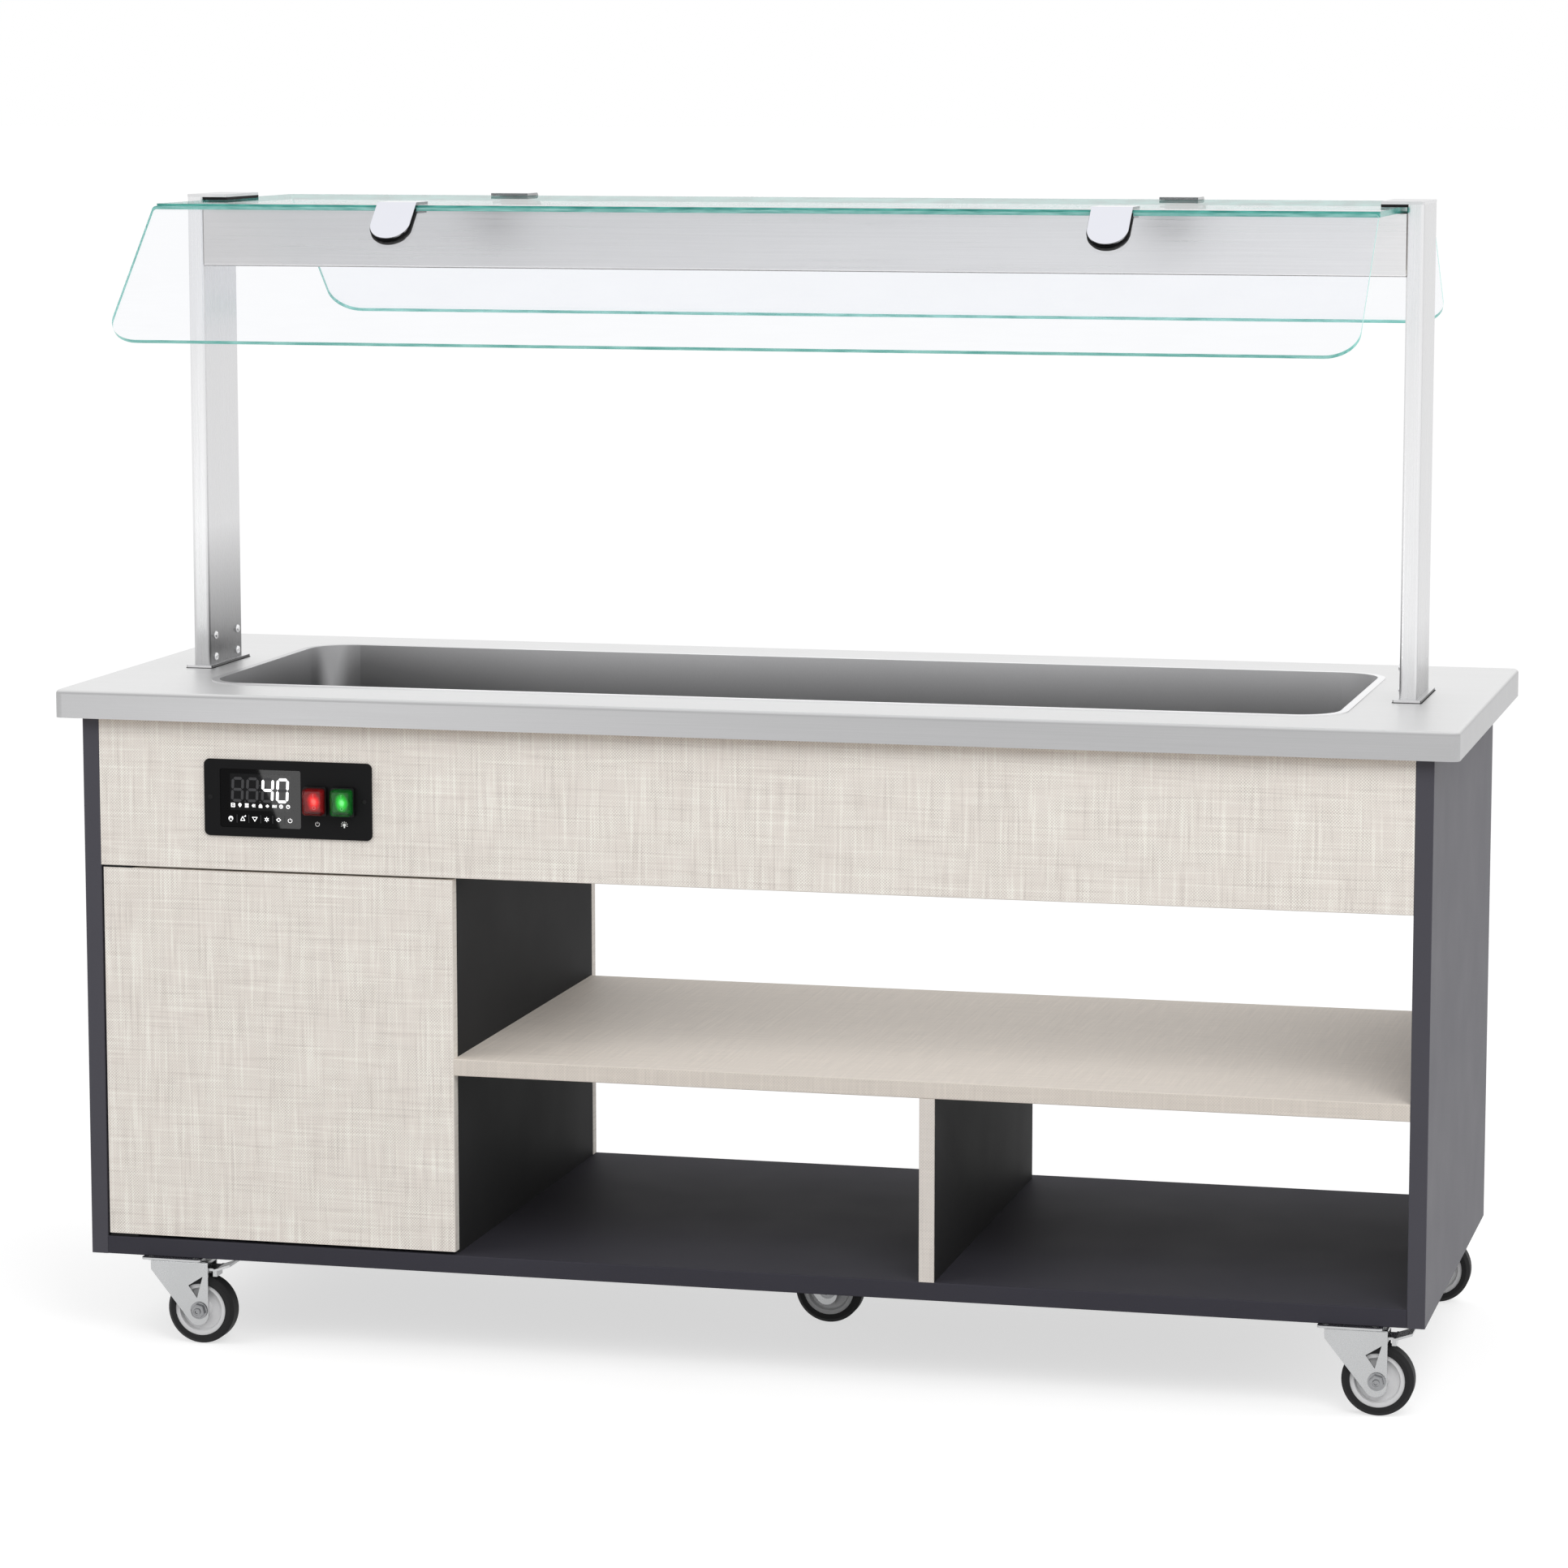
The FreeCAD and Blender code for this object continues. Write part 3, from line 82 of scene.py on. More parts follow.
class Finish:
    """A node material being put together around one Principled shader."""

    def __init__(self, name, **sockets):
        self.material = bpy.data.materials.new(name)
        self.material.use_nodes = True
        self.tree = self.material.node_tree
        self.tree.nodes.clear()
        self.output = self.node("ShaderNodeOutputMaterial")
        self.surface = self.node("ShaderNodeBsdfPrincipled")
        self.join(self.surface.outputs["BSDF"], self.output.inputs["Surface"])
        coordinates = self.node("ShaderNodeTexCoord")
        self.place = coordinates.outputs["Object"]
        self.normal = coordinates.outputs["Normal"]
        for key, value in sockets.items():
            self.surface.inputs[key.replace("_", " ")].default_value = value

    def node(self, kind, **settings):
        made = self.tree.nodes.new(kind)
        for key, value in settings.items():
            setattr(made, key, value)
        return made

    def join(self, source, target):
        self.tree.links.new(source, target)

    def feed(self, target, value):
        """Sets a socket to a constant, or links it to another socket."""
        if isinstance(value, (int, float, tuple)):
            target.default_value = value
        else:
            self.join(value, target)

    def math(self, operation, first, second=0.0):
        made = self.node("ShaderNodeMath", operation=operation)
        self.feed(made.inputs[0], first)
        self.feed(made.inputs[1], second)
        return made.outputs[0]

    def total(self, start, shares, middle=None):
        """The start value plus each part times its share; a middle is first taken off the parts."""
        for part, share in shares:
            if middle is not None:
                part = self.math("SUBTRACT", part, middle)
            start = self.math("ADD", start, self.math("MULTIPLY", part, share))
        return start

    def mean(self, first, second, share):
        """The given share of the first value and the rest of the second."""
        return self.total(self.math("MULTIPLY", first, share), [(second, 1.0 - share)])

    def vector(self, operation, first, second, output="Vector"):
        made = self.node("ShaderNodeVectorMath", operation=operation)
        self.feed(made.inputs[0], first)
        self.feed(made.inputs[1], second)
        return made.outputs[output]

    def noise(self, stretch, detail=2.0, rough=0.5, place=None):
        """Noise with so many waves to a metre, the same along each axis or one number for each."""
        mapping = self.node("ShaderNodeMapping")
        mapping.inputs["Scale"].default_value = (stretch,) * 3 if isinstance(stretch, float) else stretch
        self.join(place or self.place, mapping.inputs["Vector"])
        texture = self.node("ShaderNodeTexNoise")
        texture.inputs["Scale"].default_value = 1.0
        texture.inputs["Detail"].default_value = detail
        texture.inputs["Roughness"].default_value = rough
        self.join(mapping.outputs["Vector"], texture.inputs["Vector"])
        return texture.outputs["Fac"]

    def cells(self, scale):
        """A pattern of cells, each in a grey of its own."""
        texture = self.node("ShaderNodeTexVoronoi")
        texture.inputs["Scale"].default_value = scale
        self.join(self.place, texture.inputs["Vector"])
        grey = self.node("ShaderNodeRGBToBW")
        self.join(texture.outputs["Color"], grey.inputs[0])
        return grey.outputs[0]

    def span(self, value, low, high, start=0.0, end=1.0):
        """The value between start and end, drawn out to go from low to high."""
        made = self.node("ShaderNodeMapRange")
        self.join(value, made.inputs["Value"])
        made.inputs["From Min"].default_value = start
        made.inputs["From Max"].default_value = end
        made.inputs["To Min"].default_value = low
        made.inputs["To Max"].default_value = high
        return made.outputs["Result"]

    def ramp(self, value, stops):
        made = self.node("ShaderNodeValToRGB")
        elements = made.color_ramp.elements
        while len(elements) < len(stops):
            elements.new(0.5)
        for element, (position, colour) in zip(elements, stops):
            element.position = position
            element.color = colour
        self.join(value, made.inputs["Fac"])
        return made.outputs["Color"]

    def toned(self, value, tone, dark, light, start=0.3, end=0.7):
        """One tone, from its dark share at the start to its light share at the end."""
        return self.ramp(value, [(start, shaded(tone, dark)), (end, shaded(tone, light))])

    def blend(self, factor, first, second):
        made = self.node("ShaderNodeMix", data_type="RGBA")
        self.feed(made.inputs["Factor"], factor)
        self.feed(made.inputs[6], first)
        self.feed(made.inputs[7], second)
        return made.outputs[2]

    def layers(self, factor, first, second):
        """Two shaders mixed by a factor."""
        made = self.node("ShaderNodeMixShader")
        self.join(factor, made.inputs[0])
        self.join(first.outputs[0], made.inputs[1])
        self.join(second.outputs[0], made.inputs[2])
        return made

    def grazing(self, power):
        """0 where a face is seen straight on, rising to 1 where it is seen edge on."""
        weight = self.node("ShaderNodeLayerWeight")
        weight.inputs["Blend"].default_value = 0.5
        return self.math("POWER", weight.outputs["Facing"], power)

    def colour(self, source):
        self.join(source, self.surface.inputs["Base Color"])

    def roughness(self, value, low, high, start=0.0, end=1.0):
        self.join(self.span(value, low, high, start, end), self.surface.inputs["Roughness"])

    def relief(self, height, strength, depth):
        made = self.node("ShaderNodeBump")
        made.inputs["Strength"].default_value = strength
        made.inputs["Distance"].default_value = depth
        self.join(height, made.inputs["Height"])
        self.join(made.outputs["Normal"], self.surface.inputs["Normal"])

    def parts(self, vector):
        """The x, y and z of a vector."""
        made = self.node("ShaderNodeSeparateXYZ")
        self.join(vector, made.inputs[0])
        return made.outputs


def brushed_steel(name, along, tone, rough, facing="Z", others=None, foot=None, left=None):
    """Sheet steel with fine streaks along one axis.

    Where a tone for others is given, the first tone is only on the faces that look along the facing axis, which
    paints shade on one kind of face.
    A foot gives two heights and the tones of both kinds of face below the first; they end at the second, which
    paints shade towards the foot.
    A left gives two places along X and the tone at the first, which ends at the second and paints shade along X."""
    finish = Finish(name, Metallic=1.0)
    axis = "XYZ".index(along)
    fine_stretch, broad_stretch = [620.0] * 3, [24.0] * 3
    fine_stretch[axis], broad_stretch[axis] = 5.0, 1.2
    fine = finish.noise(fine_stretch, 4.0, 0.6)
    streak = finish.mean(fine, finish.noise(broad_stretch), 0.7)

    def sheet(sheet_tone):
        return finish.toned(streak, sheet_tone, 0.93, 1.05, 0.25, 0.75)

    brushed = sheet(tone)
    # painted shade along X: the tone at the first place fades into the main tone
    if left:
        start, end, left_tone = left
        share = finish.span(finish.parts(finish.place)[0], 0.0, 1.0, start, end)
        brushed = finish.blend(share, sheet(left_tone), brushed)
    if others:
        second = sheet(others)
        # painted shade towards the foot
        if foot:
            start, end, foot_tone, foot_others = foot
            rise = finish.span(finish.parts(finish.place)[2], 0.0, 1.0, start, end)
            brushed = finish.blend(rise, sheet(foot_tone), brushed)
            second = finish.blend(rise, sheet(foot_others), second)
        # painted shade by which way a face looks
        looking = finish.parts(finish.normal)["XYZ".index(facing)]
        share = finish.span(finish.math("ABSOLUTE", looking), 0.0, 1.0, 0.35, 0.85)
        brushed = finish.blend(share, second, brushed)
    finish.colour(brushed)
    finish.roughness(streak, rough - 0.07, rough + 0.09, 0.25, 0.75)
    finish.relief(fine, 0.10, 0.0001)
    return finish.material


def satin_steel(name, tone, rough, grain):
    """Drawn or plated metal with a soft grain and faint clouding."""
    finish = Finish(name, Metallic=1.0)
    fine = finish.noise(grain, 3.0, 0.6)
    mixed = finish.mean(fine, finish.noise(6.0, 3.0), 0.4)
    finish.colour(finish.toned(mixed, tone, 0.90, 1.06))
    finish.roughness(mixed, rough - 0.06, rough + 0.08, 0.3, 0.7)
    finish.relief(fine, 0.06, 0.0001)
    return finish.material


def drawn_steel(name, low, high, dark, middle_tone, light):
    """Deep-drawn steel between two heights: fine grain, with painted shade that darkens it from its rim down,
    a painted highlight down its left corners, a painted shadow on the walls beside them and painted shade
    on its left end wall."""
    finish = Finish(name, Metallic=1.0)
    fine = finish.noise(1100.0)
    cloud = finish.noise(3.0)
    x, _, z = finish.parts(finish.place)
    # painted shade: the colour darkens from the rim down
    level = finish.total(finish.span(z, 0.0, 1.0, low, high), [(fine, 0.07), (cloud, 0.10)], 0.5)
    turned = finish.parts(finish.normal)[0]
    # painted highlight: a bright streak down the left corners, strongest low down
    rising = finish.span(turned, 0.0, 1.0, 0.30, 0.68)
    falling = finish.span(turned, 1.0, 0.0, 0.70, 0.95)
    deeper = finish.span(z, 1.0, 0.3, low, high)
    streak = finish.math("MULTIPLY", finish.math("MULTIPLY", rising, falling), deeper)
    # painted shadow on the walls beside the left corners, and painted shade on the left end wall
    plain = finish.span(turned, 1.0, 0.0, 0.0, 0.55)
    painted_shadow = finish.math("MULTIPLY", finish.span(x, 1.0, 0.0, -0.74, -0.46), plain)
    end_wall_shade = finish.span(turned, 0.0, 1.0, 0.86, 0.99)
    level = finish.total(level, [(streak, 0.72), (painted_shadow, -0.30), (end_wall_shade, -0.16)])
    finish.colour(finish.ramp(level, [(0.0, dark), (0.5, middle_tone), (1.0, light)]))
    finish.roughness(fine, 0.30, 0.38)
    return finish.material


def chromed(name, bands):
    """Mirror chrome with a painted reflection: bands of light and dark by how far a face looks up."""
    finish = Finish(name, Metallic=1.0)
    haze = finish.noise(45.0)
    up = finish.span(finish.parts(finish.normal)[2], 0.0, 1.0, -1.0, 1.0)
    finish.colour(finish.ramp(finish.total(up, [(haze, 0.03)], 0.5), bands))
    finish.roughness(haze, 0.03, 0.07)
    return finish.material


def spangled(name, tone, rough, size):
    """Zinc coat with its crystal pattern."""
    finish = Finish(name, Metallic=1.0)
    crystal = finish.cells(1.0 / size)
    finish.colour(finish.toned(crystal, tone, 0.84, 1.10, 0.1, 0.9))
    finish.roughness(crystal, rough - 0.05, rough + 0.10, 0.1, 0.9)
    finish.relief(finish.noise(900.0), 0.05, 0.0001)
    return finish.material


def speckled(name, tone, rough, grain, contrast=0.08, relief=0.08, **sockets):
    """Laminate, moulded plastic or rubber: fine speckle, soft clouding, slight texture."""
    finish = Finish(name, **sockets)
    fine = finish.noise(grain, 3.0, 0.65)
    mixed = finish.mean(fine, finish.noise(9.0), 0.65)
    finish.colour(finish.toned(mixed, tone, 1.0 - contrast, 1.0 + contrast))
    finish.roughness(mixed, rough - 0.05, rough + 0.06, 0.3, 0.7)
    finish.relief(fine, relief, 0.0002)
    return finish.material


def linen(name, tone, pitch, contrast, front=1.0):
    """Printed linen weave: light crossings in diagonal rows, with thick threads along both directions.

    The tone of the faces that look along Y is multiplied by front, which paints shade on them."""
    finish = Finish(name, Specular_IOR_Level=0.25)
    x, y, z = finish.parts(finish.place)
    side, ahead, level = [finish.math("ABSOLUTE", part) for part in finish.parts(finish.normal)]
    u = finish.math("ADD", x, finish.math("MULTIPLY", y, side))
    v = finish.math("ADD", z, finish.math("MULTIPLY", y, level))
    flat = finish.node("ShaderNodeCombineXYZ")
    finish.join(u, flat.inputs[0])
    finish.join(v, flat.inputs[1])

    def patches(across, up, detail=2.0):
        return finish.noise((across, up, 1.0), detail, place=flat.outputs[0])

    waves = []
    for run, across, up in ((u, 30.0, 60.0), (v, 60.0, 30.0)):
        sway = finish.span(patches(across, up), -pitch * 0.7, pitch * 0.7)
        turns = finish.math("MULTIPLY", finish.math("ADD", run, sway), math.pi / pitch)
        waves.append(finish.math("SINE", turns))
    tight = finish.span(patches(26.0, 20.0), 0.30, 1.0, 0.3, 0.7)
    shares = [(finish.math("MULTIPLY", finish.math("MULTIPLY", *waves), tight), 0.46)]
    for across, up, start, share in ((240.0, 8.0, 0.50, 0.31), (8.0, 240.0, 0.52, 0.24),
                                     (220.0, 9.0, 0.52, -0.27), (9.0, 220.0, 0.52, -0.24)):
        shares.append((finish.span(patches(across, up), 0.0, 1.0, start, start + 0.30), share))
    height = finish.total(0.49, shares)
    height = finish.total(height, [(patches(1400.0, 1400.0), 0.35), (patches(7.0, 5.0, 3.0), 0.12)], 0.5)
    stops = [(0.05, shaded(tone, 1.0 - contrast)), (0.5, tone), (0.95, shaded(tone, 1.0 + contrast))]
    woven = finish.ramp(height, stops)
    # painted shade on the faces that look along Y
    if front < 1.0:
        front_shade_stops = [(position, shaded(colour, front)) for position, colour in stops]
        edge = finish.span(ahead, 0.0, 1.0, 0.4, 0.8)
        woven = finish.blend(edge, woven, finish.ramp(height, front_shade_stops))
    finish.colour(woven)
    finish.roughness(height, 0.50, 0.62)
    finish.relief(height, 0.12, 0.0002)
    return finish.material


def pane(name, facing, clear, edge, edge_high):
    """Clear sheet glass: see-through on its faces, green along its cut edges, with a painted glow on them."""
    finish = Finish(name)
    finish.tree.nodes.remove(finish.surface)
    across = finish.vector("DOT_PRODUCT", finish.normal, facing, "Value")
    face = finish.math("GREATER_THAN", finish.math("ABSOLUTE", across), 0.7)
    smear = finish.noise((11.0, 17.0, 17.0), 3.0)
    through = finish.node("ShaderNodeBsdfTransparent")
    finish.join(finish.toned(smear, clear, 0.994, 1.0), through.inputs["Color"])
    gloss = finish.node("ShaderNodeBsdfGlossy")
    gloss.inputs["Roughness"].default_value = 0.02
    gloss.inputs["Color"].default_value = (1.0, 1.0, 1.0, 1.0)
    mirror = finish.math("ADD", finish.math("MULTIPLY", finish.grazing(5.0), 0.6), 0.03)
    rim = finish.node("ShaderNodeBsdfPrincipled")
    rim.inputs["Roughness"].default_value = 0.15
    # painted glow on the green edges
    rim.inputs["Emission Strength"].default_value = 0.25
    green = finish.ramp(finish.noise((30.0, 220.0, 220.0)), [(0.3, edge), (0.7, edge_high)])
    for socket in ("Base Color", "Emission Color"):
        finish.join(green, rim.inputs[socket])
    whole = finish.layers(face, rim, finish.layers(mirror, through, gloss))
    finish.join(whole.outputs[0], finish.output.inputs["Surface"])
    return finish.material


def lit_rocker(name, centre, deep, bright, core):
    """Translucent rocker lit by the lamp behind it."""
    finish = Finish(name, Roughness=0.3, Emission_Strength=1.0)
    offset = finish.vector("SUBTRACT", finish.place, centre)
    squeezed = finish.vector("MULTIPLY", offset, (84.0, 0.0, 62.0))
    distance = finish.vector("LENGTH", squeezed, (0.0, 0.0, 0.0), "Value")
    grain = finish.noise(330.0, 3.0)
    reach = finish.total(distance, [(grain, 0.16)], 0.5)
    glow = finish.ramp(reach, [(0.14, core), (0.42, bright), (0.88, deep)])
    finish.join(glow, finish.surface.inputs["Emission Color"])
    finish.colour(glow)
    finish.relief(grain, 0.1, 0.0002)
    return finish.material


def hood_clear(name, middle_x):
    """Clear soft hood with the glow of the lamps below it painted on: red to the left of a place along X and green
    to the right.
    """
    finish = Finish(name)
    finish.tree.nodes.remove(finish.surface)
    right = finish.math("GREATER_THAN", finish.parts(finish.place)[0], middle_x)
    smear = finish.noise(90.0, 3.0)

    def tints(*tones):
        red_low, red_high, green_low, green_high = [srgb(*tone) for tone in tones]
        red = finish.ramp(smear, [(0.3, red_low), (0.7, red_high)])
        green = finish.ramp(smear, [(0.3, green_low), (0.7, green_high)])
        return finish.blend(right, red, green)

    # painted light: the clear hood is tinted red and green by the lamps below it
    through = finish.node("ShaderNodeBsdfTransparent")
    clear = tints((236, 196, 196), (246, 214, 214), (196, 236, 204), (214, 246, 220))
    finish.join(clear, through.inputs["Color"])
    # painted glow of the lamps below on the hood's skin
    skin = finish.node("ShaderNodeBsdfPrincipled")
    skin.inputs["Roughness"].default_value = 0.12
    skin.inputs["Emission Strength"].default_value = 0.35
    painted_lamp_glow = tints((96, 16, 18), (122, 26, 28), (20, 88, 34), (34, 112, 50))
    for socket in ("Base Color", "Emission Color"):
        finish.join(painted_lamp_glow, skin.inputs[socket])
    edge = finish.math("ADD", finish.math("MULTIPLY", finish.grazing(1.6), 0.55), 0.07)
    finish.join(finish.layers(edge, through, skin).outputs[0], finish.output.inputs["Surface"])
    return finish.material


def gloss_black(name, tone):
    """Dark glass: even gloss, with a trace of dust in its colour."""
    finish = Finish(name, Specular_IOR_Level=0.07)
    dust = finish.noise(700.0, 4.0, 0.7)
    finish.colour(finish.toned(dust, tone, 1.0, 1.8, 0.35, 0.8))
    finish.roughness(dust, 0.012, 0.022)
    return finish.material


def glowing(name, tone, strength, grain=500.0):
    """Lit mark, or printed mark with a painted glow; the glow is slightly uneven."""
    finish = Finish(name, Roughness=0.4, Emission_Strength=strength)
    uneven = finish.toned(finish.noise(grain), tone, 0.9, 1.0)
    finish.colour(uneven)
    finish.join(uneven, finish.surface.inputs["Emission Color"])
    return finish.material


def chipboard(name):
    """Pressed chips in shades of raw wood."""
    finish = Finish(name)
    chips = finish.cells(260.0)
    finish.colour(finish.ramp(chips, [(0.0, srgb(146, 112, 76)), (1.0, srgb(206, 172, 126))]))
    finish.roughness(chips, 0.7, 0.9)
    finish.relief(chips, 0.3, 0.0005)
    return finish.material


def wool(name):
    """Mineral wool with its fibres along X."""
    finish = Finish(name)
    fibre = finish.noise((90.0, 420.0, 420.0), 5.0, 0.7)
    finish.colour(finish.ramp(fibre, [(0.3, srgb(150, 128, 78)), (0.7, srgb(214, 194, 138))]))
    finish.roughness(fibre, 0.85, 1.0)
    finish.relief(fibre, 0.6, 0.002)
    return finish.material


WEAVE = 2.1 * MM
looks = {
    "stainless": brushed_steel("brushed_steel_x", "X", srgb(222, 222, 223), 0.30),
    # painted shade: the worktop's edges, which don't look up, are darker than its top
    "worktop_steel": brushed_steel("worktop_brushed_steel", "X", srgb(231, 231, 231), 0.36, "Z",
                                   srgb(180, 180, 181)),
    # painted shade: the beam darkens from its right end to its left end
    "beam_steel": brushed_steel("beam_brushed_steel", "X", srgb(234, 233, 233), 0.30,
                                left=(-0.85, 0.85, srgb(204, 203, 203))),
    # painted shade on both posts: the faces that don't look along Y are darker, and both kinds of face darken
    # towards the foot
    "left_post_steel": brushed_steel("left_post_brushed_steel", "Z", srgb(232, 232, 233), 0.26, "Y",
                                     srgb(216, 216, 217),
                                     (0.985, 1.16, srgb(196, 196, 197), srgb(120, 120, 121))),
    "right_post_steel": brushed_steel("right_post_brushed_steel", "Z", srgb(236, 236, 237), 0.26, "Y",
                                      srgb(212, 212, 213),
                                      (0.955, 1.06, srgb(228, 228, 229), srgb(164, 164, 165))),
    # painted shade: the base plates' sides that look along X are dark
    "base_plate": brushed_steel("base_plate_steel", "Y", srgb(70, 70, 71), 0.30, "X", srgb(226, 226, 227)),
    # the well's steel, with painted shade, a painted highlight and a painted shadow
    "well_steel": drawn_steel("well_satin_painted_shade", 0.80, 0.95, srgb(128, 128, 129), srgb(176, 176, 177),
                              srgb(250, 250, 251)),
    "core_board": chipboard("core_chipboard"),
    "silicone_mat": speckled("silicone_orange", srgb(186, 86, 52), 0.6, 500.0),
    "mineral_wool": wool("mineral_wool_fibre"),
    "galvanised": spangled("galvanised_sheet", srgb(176, 180, 184), 0.36, 0.018),
    "valve_brass": satin_steel("valve_nickel_brass", srgb(196, 188, 168), 0.3, 900.0),
    "lever_red": speckled("lever_red_dip", srgb(176, 28, 26), 0.4, 700.0),
    "anthracite_board": speckled("anthracite_laminate", srgb(72, 71, 78), 0.5, 1300.0, 0.07, 0.06,
                                 Specular_IOR_Level=0.22),
    # painted shade: a darker copy of the anthracite laminate for the bottom panel
    "anthracite_painted_shade": speckled("anthracite_laminate_painted_shade", srgb(62, 61, 68), 0.6, 1300.0, 0.07, 0.06,
                                 Specular_IOR_Level=0.05),
    # painted shade: a near-black copy of the anthracite laminate for the dividers
    "divider_painted_shade": speckled("divider_laminate_painted_shade", srgb(41, 41, 42), 0.6, 1300.0, 0.07, 0.06,
                             Specular_IOR_Level=0.05),
    "linen_board": linen("linen_laminate", srgb(234, 226, 218), WEAVE, 0.31),
    # painted shade: the shelf's front edge is darker than its top
    "linen_shelf": linen("linen_laminate_shelf", srgb(230, 221, 211), WEAVE, 0.13, 0.87),
    # painted shade: a darker copy of the linen laminate for the lower divider's edging
    "linen_edging_painted_shade": linen("linen_laminate_edging_painted_shade", srgb(218, 211, 204), WEAVE, 0.14),
    "zinc": satin_steel("zinc_plate", srgb(186, 187, 188), 0.26, 500.0),
    "bolt_zinc": satin_steel("bolt_zinc_dark", srgb(150, 151, 153), 0.20, 500.0),
    "grey_plastic": speckled("grey_moulding", srgb(150, 152, 154), 0.5, 800.0),
    "black_plastic": speckled("black_moulding", srgb(23, 23, 24), 0.5, 1100.0, 0.15, 0.10,
                              Specular_IOR_Level=0.08),
    "display_glass": gloss_black("display_dark_glass", srgb(5, 5, 6)),
    "switch_black": speckled("switch_moulding", srgb(18, 18, 19), 0.42, 1200.0, 0.15, 0.10,
                             Specular_IOR_Level=0.2),
    "black_rubber": speckled("black_rubber", srgb(20, 20, 21), 0.7, 900.0, 0.15, 0.12,
                             Specular_IOR_Level=0.2),
    "opal_diffuser": glowing("opal_diffuser_sheet", srgb(250, 246, 238), 0.5, 60.0),
    "led_aluminium": satin_steel("led_bar_aluminium", srgb(205, 207, 210), 0.35, 800.0),
    # painted reflection on the clamp chrome: light and dark bands by how far a face looks up
    "chrome": chromed("clamp_chrome_painted_reflection", [
        (0.0, srgb(60, 60, 62)), (0.165, srgb(28, 28, 29)), (0.30, srgb(150, 150, 152)),
        (0.45, srgb(18, 18, 19)), (0.62, srgb(238, 238, 240)), (0.74, srgb(84, 84, 86)),
        (0.82, srgb(236, 237, 244)), (1.0, srgb(228, 229, 238)),
    ]),
    "hub_grey": speckled("hub_moulding", srgb(222, 222, 223), 0.45, 900.0, 0.03),
    "tyre_dark": speckled("tyre_rubber", srgb(36, 36, 37), 0.65, 700.0, 0.2, 0.15, Specular_IOR_Level=0.2),
}

TOP_EDGE = srgb(24, 112, 104), srgb(84, 164, 154)
SIDE_EDGE = srgb(84, 168, 158), srgb(146, 208, 200)
CLEAR = (0.975, 0.979, 0.988, 1.0)
PANE_RUN = 200.0
PANE_DROP = 182.0
_, slope_y, slope_z = Vector((0.0, -PANE_DROP, PANE_RUN)).normalized()
looks["top_glass"] = pane("glass_top", (0.0, 0.0, 1.0), CLEAR, *TOP_EDGE)
looks["front_glass"] = pane("glass_front", (0.0, slope_y, slope_z), CLEAR, *SIDE_EDGE)
looks["rear_glass"] = pane("glass_rear", (0.0, -slope_y, slope_z), CLEAR, *SIDE_EDGE)


def middle(node):
    """The centre of a node's box."""
    low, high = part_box(node)
    return (low + high) / 2


power_middle = middle("power_rocker")
light_middle = middle("light_rocker")
looks["rocker_red"] = lit_rocker("rocker_red_lit", tuple(power_middle), srgb(96, 4, 10),
                                 srgb(232, 26, 34), srgb(255, 168, 156))
looks["rocker_green"] = lit_rocker("rocker_green_lit", tuple(light_middle), srgb(4, 66, 14),
                                   srgb(40, 204, 62), srgb(196, 255, 202))
looks["clear_hood"] = hood_clear("hood_silicone", (power_middle.x + light_middle.x) / 2)

slot_of = {row["node"]: row["material_slot"] for row in frame["record"]["subparts"]}
special = {
    "worktop": "worktop_steel", "lamp_beam": "beam_steel", "shelf": "linen_shelf",
    "left_post": "left_post_steel", "right_post": "right_post_steel", "post_bases": "base_plate",
    "lower_divider_edging": "linen_edging_painted_shade",
    "top_glass": "top_glass", "front_glass": "front_glass", "rear_glass": "rear_glass",
    # the bottom panel and the dividers take darker copies of the anthracite laminate: painted shade
    "bottom_panel": "anthracite_painted_shade", "left_divider": "divider_painted_shade", "lower_divider": "divider_painted_shade",
}
for name, node in nodes.items():
    look = looks[special.get(name, slot_of[name])]
    node.data.materials.clear()
    node.data.materials.append(look)


# Shapes for the small pieces


def keep(name, shape, body, look):
    """Turns a bmesh into a piece that rides on a body."""
    bmesh.ops.recalc_face_normals(shape, faces=shape.faces)
    mesh = bpy.data.meshes.new(name)
    shape.to_mesh(mesh)
    shape.free()
    mesh.materials.append(look)
    piece = bpy.data.objects.new(name, mesh)
    scene.collection.objects.link(piece)
    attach(piece, body)


def heading(degrees):
    """The sideways and upward share of a direction."""
    return math.cos(math.radians(degrees)), math.sin(math.radians(degrees))


def tube(shape, rows, closed):
    """Walls from each row of points to the next; the last joins the first, or both ends get a cap."""
    rows = [[shape.verts.new(point) for point in row] for row in rows]
    for i in range(len(rows) if closed else len(rows) - 1):
        row, following = rows[i], rows[(i + 1) % len(rows)]
        for k in range(len(row)):
            m = (k + 1) % len(row)
            shape.faces.new((row[k], row[m], following[m], following[k]))
    if not closed:
        shape.faces.new(rows[0][::-1])
        shape.faces.new(rows[-1])


def prism(shape, outline, near, far):
    """A flat figure on the front, given by its x and z corners, from depth near to depth far."""
    tube(shape, [[(x, depth, z) for x, z in outline] for depth in (near, far)], False)


def band(shape, centre, radius, width, start, end, near, far, steps=28):
    """A flat arc of the given width, from one angle to another in degrees."""
    full = end - start >= 360
    rows = []
    for i in range(steps if full else steps + 1):
        du, dv = heading(start + (end - start) * i / steps)
        (ax, az), (bx, bz) = [(centre[0] + reach * du, centre[1] + reach * dv)
                              for reach in (radius - width / 2, radius + width / 2)]
        rows.append([(ax, near, az), (bx, near, bz), (bx, far, bz), (ax, far, az)])
    tube(shape, rows, full)


